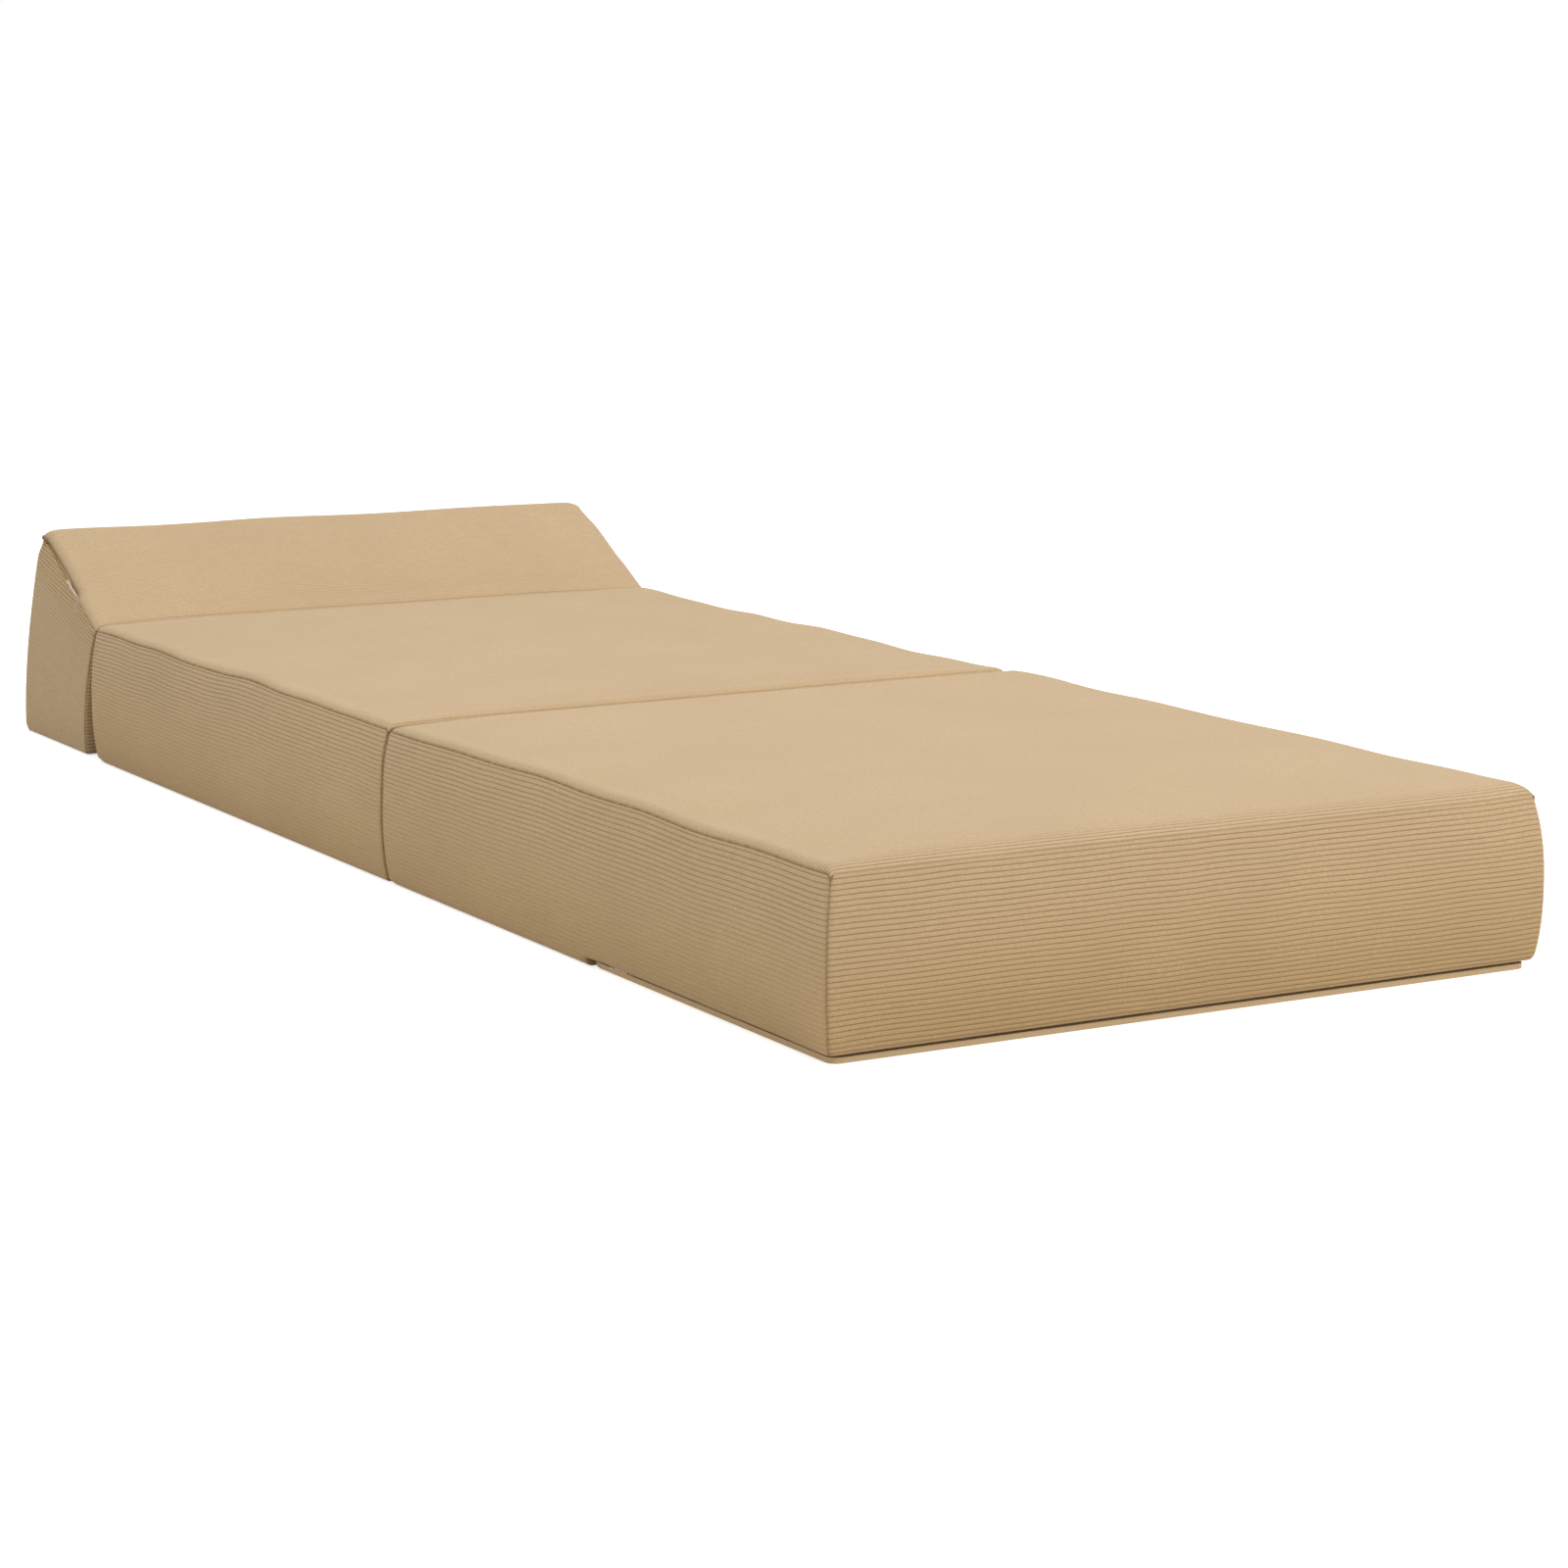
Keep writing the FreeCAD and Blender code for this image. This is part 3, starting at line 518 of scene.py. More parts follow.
def closed_shell(panel, surface, rib, seam_shade_share):
    """Closed mesh of a grid of points, with a rim down to a flat back, and the back itself."""
    index = np.arange(surface[..., 0].size).reshape(surface.shape[:2])
    faces = np.stack([index[:-1, :-1], index[:-1, 1:], index[1:, 1:], index[1:, :-1]], axis=2)
    if panel.cut is not None:
        faces = faces[~panel.cut((surface[:-1, :-1] + surface[1:, 1:]) / 2)]
    faces = faces.reshape(-1, 4)
    if panel.flip:
        faces = faces[:, ::-1]
    points = surface.reshape(-1, 3)
    half_edges = {}
    for i in range(4):
        for p, q in zip(faces[:, i].tolist(), faces[:, (i + 1) % 4].tolist()):
            half_edges[(p, q)] = True
    following = {p: q for p, q in half_edges if (q, p) not in half_edges}
    start = next(iter(following))
    loop = [start]
    while following[loop[-1]] != start:
        loop.append(following[loop[-1]])
    base = panel.corners[0] @ panel.n - panel.depth
    edge = points[loop]
    back = edge - ((edge @ panel.n) - base)[:, None] * panel.n
    offset = len(points)
    total = len(loop)
    rim = [(loop[j], loop[i], offset + i, offset + j) for i, j in ring_edges(total)]
    polygons = faces.tolist() + rim + [tuple(offset + i for i in range(total))[::-1]]
    vertices = np.concatenate([points, back])
    vertices[:, 2] = np.maximum(vertices[:, 2], 0.0)
    used = np.unique(np.concatenate([np.ravel(faces), np.arange(offset, offset + total)]))
    renumber = np.full(len(vertices), -1)
    renumber[used] = np.arange(len(used))
    polygons = [[int(renumber[i]) for i in polygon] for polygon in polygons]
    mesh = bpy.data.meshes.new(panel.name)
    mesh.from_pydata(vertices[used].tolist(), [], polygons)
    shade = np.zeros(len(polygons), bool)
    shade[:len(faces)] = True
    mesh.polygons.foreach_set("use_smooth", shade)
    # The attribute "low" carries painted shade: a deeper tone low on a block's walls and all over the
    # wedge's walls.
    low = painted_shade_share(panel, points)
    for name, values, behind in (("rib", rib, 0.5), ("seam", seam_shade_share, 1.0), ("low", low, 0.5)):
        values = np.concatenate([values, np.full(total, behind)])[used].astype(np.float32)
        mesh.attributes.new(name, "FLOAT", "POINT").data.foreach_set("value", values)
    mesh.update()
    return linked(panel.name, mesh)


def painted_shade_share(panel, points):
    """How much painted shade the walls take: a block's more towards the floor, the wedge's evenly."""
    if abs(panel.n[2]) >= 0.5:
        return np.zeros(len(points))
    if panel.name.startswith("head"):
        return np.full(len(points), WEDGE_PAINTED_SHADE)
    return 1 - BLOCK_SHADE_FADE * smooth(points[:, 2] / SEAM_Z)


def ring_edges(count):
    return [(i, (i + 1) % count) for i in range(count)]


def linked(name, mesh):
    thing = bpy.data.objects.new(name, mesh)
    bpy.context.scene.collection.objects.link(thing)
    return thing


def solid(name, points, faces, finish):
    """A closed piece with all its faces turned outward."""
    mesh = bpy.data.meshes.new(name)
    mesh.from_pydata([tuple(p) for p in points], [], faces)
    build = bmesh.new()
    build.from_mesh(mesh)
    bmesh.ops.recalc_face_normals(build, faces=build.faces)
    build.to_mesh(mesh)
    build.free()
    mesh.materials.append(finish)
    return linked(name, mesh)


# ---- cloth settling over the filling ----
GRID = 0.022  # spacing of the simulated cloth, and of the columns of a panel's mesh
GIVE = 0.0035  # the most that the cloth may move
FRAMES = 20
HOLD = 0.3  # how strongly the cloth is held to its shape away from the seams
TURN_ANGLE = 0.6  # between two panels, the cover turns by more than this
CLOTH = {
    "quality": 6,
    "mass": 0.35,
    "tension_stiffness": 20,
    "compression_stiffness": 12,
    "shear_stiffness": 8,
    "bending_stiffness": 0.8,
    "use_pressure": True,
    "uniform_pressure_force": 2.0,
    "vertex_group_mass": "pins",
    "pin_stiffness": 1.0,
}


def settle(name, panels):
    """Simulates the closed cover of a section and keeps how far each panel moved."""
    def count(p, q):
        return max(4, round(np.linalg.norm(q - p) / GRID))

    width = count(point(-HALF, 0, 0), point(HALF, 0, 0))
    length = count(panels["left"].corners[0], panels["left"].corners[1])
    height = count(panels["left"].corners[1], panels["left"].corners[2])
    counts = {"top": (width, length), "base": (width, length), "front": (width, height),
              "back": (width, height), "left": (length, height), "right": (length, height)}
    points, faces, held = [], [], []
    for key, panel in panels.items():
        across, along = counts[key]
        start = len(points)
        points += panel.coarse(across, along).reshape(-1, 3).tolist()
        held += [panel.pinned] * ((across + 1) * (along + 1))
        for j in range(along):
            for i in range(across):
                a = start + j * (across + 1) + i
                ring = (a, a + 1, a + across + 2, a + across + 1)
                faces.append(ring[::-1] if panel.flip else ring)
    mesh = bpy.data.meshes.new(name)
    mesh.from_pydata(points, [], faces)
    build = bmesh.new()
    build.from_mesh(mesh)
    layer = build.verts.layers.float.new("held")
    build.verts.ensure_lookup_table()
    for vertex, pinned in zip(build.verts, held):
        vertex[layer] = pinned
    bmesh.ops.remove_doubles(build, verts=build.verts, dist=GRID / 3)
    build.to_mesh(mesh)
    build.free()
    cover = linked(name, mesh)
    rest = np.array([v.co for v in mesh.vertices])
    tree = KDTree(len(rest))
    for i, place in enumerate(rest):
        tree.insert(place, i)
    tree.balance()

    pins = cover.vertex_groups.new(name="pins")
    seams = seam_vertices(mesh)
    for i, pinned in enumerate(v.value for v in mesh.attributes["held"].data):
        pins.add([i], 1.0 if pinned or i in seams else HOLD, "REPLACE")
    cloth = cover.modifiers.new("cloth", "CLOTH")
    for key, value in CLOTH.items():
        setattr(cloth.settings, key, value)
    cloth.settings.effector_weights.gravity = 0
    scene = bpy.context.scene
    for number in range(1, FRAMES + 1):
        scene.frame_set(number)
    found = cover.evaluated_get(bpy.context.evaluated_depsgraph_get()).to_mesh()
    moved = np.array([v.co for v in found.vertices]) - rest
    scene.frame_set(1)
    bpy.data.objects.remove(cover)
    far = np.maximum(np.linalg.norm(moved, axis=1), 1e-9)
    moved *= (GIVE * np.tanh(far / GIVE) / far)[:, None]
    for key, panel in panels.items():
        across, along = counts[key]
        grid = panel.coarse(across, along)
        nearest = [tree.find(Vector(p))[1] for p in grid.reshape(-1, 3)]
        panel.moved = moved[nearest].reshape(grid.shape)


def seam_vertices(mesh):
    """Vertices of the edges between two panels, where the cover turns."""
    normals = {}
    for polygon in mesh.polygons:
        for key in polygon.edge_keys:
            normals.setdefault(key, []).append(polygon.normal.copy())
    return {vertex for key, sides in normals.items() for vertex in key
            if len(sides) < 2 or sides[0].angle(sides[1], 0) > TURN_ANGLE}


# ---- the three sections ----
def wall(swell):
    return lambda z: swell(z) - bottom_drop(z)


def at_height(swell):
    return lambda p: swell(p[..., 2])


def lift(p):
    """The filling stands a little higher towards the front and towards the right."""
    front = np.clip((FOLD_Y - p[..., 1]) / (FOLD_Y - FOOT_Y[0]), 0, 1)
    right = np.clip((p[..., 0] + HALF) / (2 * HALF), 0, 1)
    right = right * (1 - LIFT_LOSS * np.clip((p[..., 1] - FOLD_Y) / (MID_Y[1] - FOLD_Y), 0, 1))
    corner = np.exp(-((p[..., 0] - HALF) ** 2 + (p[..., 1] - FOOT_Y[0]) ** 2) / CORNER_REACH ** 2)
    return FRONT_LIFT * (1 - (1 - front) * (1 - right)) + CORNER_LIFT * corner


def wavy_seams(seed):
    """Shifts the upper part of a section up and down along its long edges."""
    def warp(p):
        side = smooth((np.abs(p[..., 0]) - HALF + SEAM_REACH) / SEAM_REACH)
        high = smooth(p[..., 2] / SEAM_Z)
        wave = ripple(np.sign(p[..., 0]) * 3.0, p[..., 1], SEAM_WAVE[1], seed)
        return ((SEAM_WAVE[0] * wave * side + lift(p)) * high)[..., None] * Z
    return warp


def creases(p):
    """Two soft creases low on the left side of the foot."""
    depth = 0
    for y, lean in CREASES:
        away = p[..., 1] - y - lean * (p[..., 2] - CREASE_LEVEL)
        high = p[..., 2] - CREASE_MIDDLE
        depth = depth + np.exp(-(away / CREASE_SIZE[0]) ** 2) * np.exp(-(high / CREASE_SIZE[1]) ** 2)
    return (CREASE_SIZE[2] * depth)[..., None] * X


def both(*warps):
    return lambda p: sum(warp(p) for warp in warps)


def rounding(away, down):
    """Change of scale that turns a square corner, at (1, 1), into a quarter of a circle."""
    inside = (away > 0) & (down > 0)
    away = np.clip(away, 1e-6, None)
    down = np.clip(down, 1e-6, None)
    shrink = np.where(inside, np.maximum(away, down) / np.hypot(away, down), 1.0) - 1
    return (shrink * away)[..., None], (shrink * down)[..., None]


def round_under(end, way, length, height):
    """Rounds a lower corner of the sides; way is +1 where the section ends towards +Y."""
    def warp(p):
        away, down = rounding(way * (p[..., 1] - end) / length + 1, 1 - p[..., 2] / height)
        return away * length * way * Y - down * height * Z
    return warp


def base_corners(front):
    """Rounds the front corners of the foot's base in plan, as the zip above them turns."""
    def warp(p):
        side = np.sign(p[..., :1])
        across, back = rounding((np.abs(p[..., 0]) - HALF + BASE_INSET) / BASE_CORNER + 1,
                                (front - p[..., 1]) / BASE_CORNER + 1)
        return across * BASE_CORNER * side * X - back * BASE_CORNER * Y
    return warp


def gap_wave(p):
    """The two blocks meet in a slightly wavy line."""
    near = np.exp(-((p[..., 1] - FOLD_Y) / GAP_REACH) ** 2)
    wave = ripple(p[..., 2], 7 * np.sign(p[..., 0]), GAP_WAVE[1], 77)
    return (GAP_WAVE[0] * near * wave)[..., None] * Y


def side_relief(p):
    """The ribs of a long side show less towards the floor."""
    return SIDE_RELIEF[0] + SIDE_RELIEF[1] * smooth((p[..., 2] - 0.03) / (SEAM_Z - 0.05))


def top_relief(y0):
    """The ribs of the foot's top panel show on the roll of its outer end."""
    return lambda p: TOP_RELIEF + (1 - TOP_RELIEF) * smooth(1 - (p[..., 1] - y0 - 0.012) / 0.022)


def even_relief(share):
    return lambda p: np.full(p.shape[:-1], share)


def wedge_relief(p):
    """The ribs of the wedge's sides show near the slanted seam and the front."""
    below = seam_height(p[..., 1]) - p[..., 2]
    return WEDGE_RELIEF[0] + WEDGE_RELIEF[1] * smooth(1 - below / 0.08)


def rectangle(x0, x1, y0, y1, z):
    return [point(x0, y0, z), point(x1, y0, z), point(x1, y1, z), point(x0, y1, z)]


def block_panels(prefix, y0, y1, outer, seed, left_zip, right_zip):
    """The panels of a block. Only an outer end swells, and is zipped; a folding end is flat.

    left_zip and right_zip are the first and last Y of a side's open band, or nothing.
    """
    side = block_swell(SIDE_SWELL)
    front = block_swell(SIDE_SWELL if outer else 0.0)
    flat = block_swell(0.0)

    def turned(swell):
        return lambda z: swell(z) - (hem_turn(z) if outer else 0)

    def side_wall(p):
        zipped = smooth((FOOT_BAND_END - p[..., 1]) / 0.01) if outer else 0
        return side(p[..., 2]) - zipped * hem_turn(p[..., 2])

    def opened(ends):
        """The open band of a side: faces left out, and columns of vertices where it ends."""
        return {"cut": zip_cut(*ends), "columns_at": [y - y0 for y in ends if y > y0]} if ends else {}

    def upright(xa, ya, xb, yb, low=0.0):
        return [point(xa, ya, SEAM_Z), point(xb, yb, SEAM_Z), point(xb, yb, low), point(xa, ya, low)]

    warps = [wavy_seams(seed), gap_wave]
    if outer:
        warps.append(round_under(y1, 1, *UNDER_FOOT))
    else:
        warps += [round_under(y0, -1, *UNDER_MID_FRONT), round_under(y1, 1, *UNDER_MID_BACK)]
    warp = both(*warps)
    inset = FOOT_RADIUS * 0.7
    lip = 0.001 if outer else inset
    near = CORNER_RADIUS if outer else FOLD_RADIUS
    shared = {"rounded_foot": True, "warp": warp}
    sides = {"ribs": Y, "along": Y, "swell": side_wall, "ends": (wall(turned(front)), wall(flat)),
             "radii": (near, FOLD_RADIUS), "rows_at": (SEAM_Z - HEM,), "relief": side_relief, **shared}
    ends = {"ribs": X, "along": X, "relief": even_relief(END_RELIEF), **shared}
    base = rectangle(-HALF + BASE_INSET, HALF - BASE_INSET, y0 + lip, y1 - inset, BASE_LIFT)
    rolls = (FRONT_ROLL, FULL_ROLL, SOFT_ROLL, SIDE_ROLL) if outer else (TIGHT_ROLL, SIDE_ROLL) * 2
    relief = top_relief(y0) if outer else even_relief(TOP_RELIEF)
    return {
        "top": Panel(prefix + "_top", rectangle(-HALF, HALF, y0, y1, SEAM_Z), X, Z, rolls=rolls,
                     depth=TOP_LAYER, warp=warp, relief=relief, seed=seed),
        "left": Panel(prefix + "_left", upright(-HALF, y0, -HALF, y1), out=-X, seed=seed + 1,
                      **{**sides, **opened(left_zip), "warp": both(warp, creases)}),
        "right": Panel(prefix + "_right", upright(HALF, y0, HALF, y1), out=X, seed=seed + 2,
                       **sides, **opened(right_zip)),
        "front": Panel(prefix + "_front", upright(-HALF, y0, HALF, y0), out=-Y, pinned=not outer,
                       swell=at_height(turned(front)),
                       window=upright(-HALF, y0, HALF, y0, HEM) if outer else None,
                       ends=(wall(turned(side)),) * 2, radii=(near, near), seed=seed + 3, **ends),
        "back": Panel(prefix + "_back", upright(-HALF, y1, HALF, y1), out=Y, pinned=True,
                      ends=(wall(side),) * 2, radii=(FOLD_RADIUS, FOLD_RADIUS), seed=seed + 4, **ends),
        "base": Panel(prefix + "_base", base, X, -Z, pinned=True, plain=True, seed=seed + 5,
                      depth=BASE_EDGE if outer else BASE_LAYER,
                      warp=both(lie_down, base_corners(y0 + lip)) if outer else lie_down),
    }


def wedge_panels(seed):
    """Slope, base, front, back and sides of the head wedge."""
    swell = wedge_swell(WEDGE_SWELL)
    hollow = wedge_swell(BACK_SWELL)
    flat = block_swell(0.0)

    def side_wall(p):
        return swell(p[..., 2], seam_height(p[..., 1]))

    def at_valley(z):
        return swell(z, SEAM_Z)

    def at_ridge(z):
        return swell(z, RIDGE_Z)

    def rear(z):
        return hollow(z, RIDGE_Z)

    fall = unit(point(0, WEDGE_BACK_Y - RIDGE_Y, -RIDGE_Z))
    back_out = point(0, -fall[2], fall[1])
    front_fall = unit(point(0, WEDGE_FRONT_Y - VALLEY_Y, -SEAM_Z))
    front_out = point(0, front_fall[2], -front_fall[1])
    warp = both(wavy_ridge(seed), zip_valley, round_under(WEDGE_BACK_Y, 1, *UNDER_HEAD))

    def cross(x):
        valley = point(x, VALLEY_Y, SEAM_Z)
        ridge = point(x, RIDGE_Y, RIDGE_Z)
        return valley, ridge, point(x, WEDGE_BACK_Y, 0), point(x, WEDGE_FRONT_Y, 0)

    def side(x, out, number):
        valley, ridge, back, front = cross(x)
        # Where the line that lies a band's height below the seam meets the front and the back.
        low_valley = meet(valley - SLOPE_OUT * HEM, SLANT, front, front - valley)
        low_ridge = meet(valley - SLOPE_OUT * HEM, SLANT, back, back - ridge)
        end = ridge - SLANT * HEAD_BAND
        low_end = end - SLOPE_OUT * HEM
        ribs = point(0, math.cos(WEDGE_RIBS), math.sin(WEDGE_RIBS))
        facts = {"ribs": ribs, "along": Y, "swell": side_wall, "ends": (wall(flat), wall(rear)),
                 "radii": (FOLD_RADIUS, CORNER_RADIUS), "seam_shade_lines": (0.3, 0.8, 0, 1),
                 "rounded_foot": True, "warp": warp, "relief": wedge_relief, "seed": seed + number}
        main = Panel("head_side", [valley, ridge, back, front], out=out,
                     window=[low_valley, low_ridge, back, front], **facts)
        strip = Panel("head_strip", [valley, ridge, back, front], out=out,
                      window=[valley, end, low_end, low_valley], **facts)
        return main, strip

    left, left_strip = side(-HALF, -X, 1)
    right, right_strip = side(HALF, X, 2)
    valley0, ridge0, back0, front0 = cross(-HALF)
    valley1, ridge1, back1, front1 = cross(HALF)
    lower = fall * (HEM / (fall @ -SLOPE_OUT))
    inset = FOOT_RADIUS * 0.7
    base = rectangle(-HALF + inset, HALF - inset, WEDGE_FRONT_Y, WEDGE_BACK_Y - inset, BASE_LIFT)
    panels = {
        "top": Panel("head_slope", [ridge0, ridge1, valley1, valley0], X, SLOPE_OUT,
                     rolls=(TIGHT_ROLL, SIDE_ROLL) * 2, depth=SLOPE_LAYER, warp=warp,
                     relief=even_relief(SLOPE_RELIEF), seam_shade_lines=(0.7, 0.3, 0.9, 0.3), seed=seed),
        "left": left,
        "right": right,
        "front": Panel("head_front", [valley0, valley1, front1, front0], X, front_out,
                       ends=(wall(at_valley),) * 2, radii=(FOLD_RADIUS, FOLD_RADIUS), along=X,
                       pinned=True, warp=warp, seed=seed + 3),
        "back": Panel("head_back", [ridge0, ridge1, back1, back0], X, back_out, swell=at_height(rear),
                      ends=(wall(at_ridge),) * 2, along=X, rounded_foot=True, warp=warp, seed=seed + 4,
                      window=[ridge0 + lower, ridge1 + lower, back1, back0]),
        "base": Panel("head_base", base, X, -Z, pinned=True, depth=BASE_LAYER, plain=True,
                      seed=seed + 5),
    }
    return panels, {"left": left_strip, "right": right_strip}


def meet(place, direction, other, other_direction):
    """Where two lines in a Y-Z plane cross."""
    a = np.array([[direction[1], -other_direction[1]], [direction[2], -other_direction[2]]])
    t = np.linalg.solve(a, (other - place)[1:])[0]
    return place + direction * t


def wavy_ridge(seed):
    """Raises the ridge, with a slight wave, and rounds off its ends."""
    def warp(p):
        high = smooth((p[..., 2] - SEAM_Z) / (RIDGE_Z - SEAM_Z))
        end = 1 - np.clip((HALF - np.abs(p[..., 0])) / 0.03, 0, 1)
        near = smooth((p[..., 2] - RIDGE_Z + 0.03) / 0.03)
        rise = RIDGE_LIFT + RIDGE_WAVE[0] * ripple(p[..., 0], 0 * p[..., 0], RIDGE_WAVE[1], seed)
        droop = np.where(p[..., 0] < 0, *RIDGE_DROOP)
        return (rise * high - droop * end ** 2 * near)[..., None] * Z
    return warp


def zip_valley(p):
    """Draws the cloth in along the wedge's zip, so that the chain lies open, most on the left."""
    away = p - point(0, RIDGE_Y, RIDGE_Z)
    along = -(away @ SLANT)
    length = smooth((HEAD_BAND + 0.012 - along) / 0.02) * smooth((along + 0.010) / 0.024)
    height = away @ SLOPE_OUT
    above = smooth(1 - np.maximum(height, HALF - np.abs(p[..., 0])) / ZIP_FADE[0])
    below = smooth(1 - np.maximum(-height - HEM, 0) / ZIP_FADE[1])
    depth = np.where(height > -0.002, ZIP_OPEN[0] * above, ZIP_OPEN[1] * below)
    return (depth * length * np.where(p[..., 0] < 0, 1, -ZIP_RIGHT))[..., None] * X


def lie_down(p):
    """Lowers a base to the floor away from the hinge cloth, and widens it under the foot's zip."""
    away = smooth((np.abs(p[..., 1] - FOLD_Y) - BASE_REACH) / BASE_REACH)
    lower = (BASE_LIFT - BASE_LEVEL) * away
    side = smooth((0.03 - HALF + np.abs(p[..., 0])) / 0.02)
    wider = BASE_WIDER * side * (p[..., 1] < FOOT_BAND_END)
    return (wider * np.sign(p[..., 0]))[..., None] * X - lower[..., None] * Z


def zip_cut(first, last):
    """Where a wall's foot is left out for a zip between two places along Y."""
    return lambda p: (p[..., 2] < HEM) & (p[..., 1] > first) & (p[..., 1] < last)


def close_at_ends(length):
    """Places along a length: 20 mm apart, and closer at both ends."""
    near = np.array([0, 0.001, 0.0025, 0.0045, 0.007, 0.010])
    middle = np.linspace(0.02, length - 0.02, round(length / 0.02) - 1)
    return np.concatenate([near, middle, length - near[::-1]])


def plain_mesh(panel):
    """Flat panel of plain cloth with a thin rim."""
    width = np.ptp(panel.quad[:, 0])
    length = np.ptp(panel.quad[:, 1])
    us = close_at_ends(width)
    vs = close_at_ends(length)
    u, v = np.meshgrid(us, vs)
    surface = panel.surface(np.stack([u, v], axis=2), seams=False)
    plain = np.ones(surface[..., 0].size)
    return closed_shell(panel, surface, plain, 0 * plain)


# ---- materials ----
def add_node(tree, kind, inputs=(), **settings):
    """Adds a node and gives its outputs."""
    made = tree.nodes.new("ShaderNode" + kind)
    for name, value in settings.items():
        setattr(made, name, value)
    fill(tree, made, dict(inputs))
    return made.outputs


def fill(tree, made, inputs):
    """Sets inputs of a node to values, or links them to sockets."""
    for key, value in inputs.items():
        if isinstance(value, bpy.types.NodeSocket):
            tree.links.new(value, made.inputs[key])
        else:
            made.inputs[key].default_value = value


def material(name, colour, roughness=0.9):
    """A Principled material: (material, its node tree, its shader)."""
    made = bpy.data.materials.new(name)
    made.use_nodes = True
    shader = made.node_tree.nodes["Principled BSDF"]
    fill(made.node_tree, shader, {"Base Color": (*colour, 1), "Roughness": roughness})
    return made, made.node_tree, shader


def position(tree):
    return add_node(tree, "TexCoord")["Object"]


def noise(tree, place, scale, detail=2.0):
    return add_node(tree, "TexNoise", {"Vector": place, "Scale": scale, "Detail": detail})["Fac"]


def mixed(tree, factor, first, second, blend="MIX"):
    """Colour between two, which are colours or sockets; the factor is a socket."""
    first, second = ((*c, 1) if isinstance(c, tuple) else c for c in (first, second))
    # Inputs 6 and 7 and output 2 are the ones for colours.
    inputs = {0: factor, 6: first, 7: second}
    return add_node(tree, "Mix", inputs, data_type="RGBA", blend_type=blend)[2]


def calculated(tree, operation, first, second, clamp=False):
    """A Math node of two sockets."""
    return add_node(tree, "Math", {0: first, 1: second}, operation=operation, use_clamp=clamp)[0]


def attribute(tree, name):
    return add_node(tree, "Attribute", attribute_name=name)["Fac"]


def ranged(tree, value, low, high, to_low=0.0, to_high=1.0):
    facts = {"Value": value, "From Min": low, "From Max": high, "To Min": to_low, "To Max": to_high}
    return add_node(tree, "MapRange", facts)["Result"]


def bumped(tree, shader, height, strength, distance):
    bump = add_node(tree, "Bump", {"Height": height, "Strength": strength, "Distance": distance})
    fill(tree, shader, {"Normal": bump["Normal"]})


def tinted(colour, share):
    return tuple(c * share for c in colour)


def corduroy(pile, ground_and_groove_shade, painted_shade_tone, painted_seam_shade):
    """Cotton corduroy: pale pile on the ribs, and darker between them, partly the cloth's ground and
    partly painted shade in the grooves; painted shade in the seams, and a deeper painted shade low on
    the walls.
    """
    made, tree, shader = material("corduroy", pile)
    place = position(tree)
    height = ranged(tree, attribute(tree, "rib"), 0.0, 0.75)
    patches = ranged(tree, noise(tree, place, 7.0, 4.0), 0.3, 0.7)
    flecks = ranged(tree, noise(tree, place, 420.0), 0.35, 0.65)
    light = mixed(tree, patches, tinted(pile, 0.95), tinted(pile, 1.05))
    light = mixed(tree, flecks, tinted(pile, 0.9), light)
    # Darker between the ribs: partly the ground of the cloth, partly painted shade in the grooves.
    colour = mixed(tree, height, ground_and_groove_shade, light)
    # Painted shade: the walls take a deeper, warmer colour, a block's most towards the floor.
    colour = mixed(tree, attribute(tree, "low"), colour, painted_shade_tone, "MULTIPLY")
    # Painted shade along the seams: a dark colour there, with the sheen taken away.
    seam = attribute(tree, "seam")
    sheen = ranged(tree, height, 0.0, 1.0, 0.04, 0.25)
    fill(tree, shader, {
        "Base Color": mixed(tree, seam, colour, painted_seam_shade),
        "Sheen Weight": calculated(tree, "SUBTRACT", sheen, seam, clamp=True),
        "Sheen Roughness": 0.45,
        "Sheen Tint": (1.0, 0.93, 0.82, 1),
        "Specular IOR Level": 0.15,
    })
    bumped(tree, shader, noise(tree, place, 900.0, 3.0), 0.35, 0.0006)
    return made


def woven(name, colour, thread):
    """Plain cloth: two crossed sets of fine threads."""
    made, tree, shader = material(name, colour, 0.85)
    facts = {"Vector": position(tree), "Scale": thread, "Distortion": 0.4}
    waves = [add_node(tree, "TexWave", facts, bands_direction=way)["Fac"] for way in "XY"]
    weave = calculated(tree, "MULTIPLY", *waves)
    threads = mixed(tree, weave, tinted(colour, 0.72), colour)
    fill(tree, shader, {"Base Color": threads, "Specular IOR Level": 0.2})
    bumped(tree, shader, weave, 0.5, 0.0004)
    return made


def speckled(name, colour, roughness, scale, spread, distance, metallic=0.0):
    """A plain finish with slight mottling: foam, nylon or painted metal."""
    made, tree, shader = material(name, colour, roughness)
    grain = noise(tree, position(tree), scale, 3.0)
    mottled = mixed(tree, ranged(tree, grain, 0.3, 0.7), tinted(colour, 1 - spread), colour)
    fill(tree, shader, {"Base Color": mottled, "Metallic": metallic})
    bumped(tree, shader, grain, 0.3, distance)
    return made


CORDUROY = corduroy(pile=(0.56, 0.405, 0.24), ground_and_groove_shade=(0.27, 0.175, 0.085),
                    painted_shade_tone=(0.84, 0.78, 0.64), painted_seam_shade=(0.23, 0.145, 0.068))
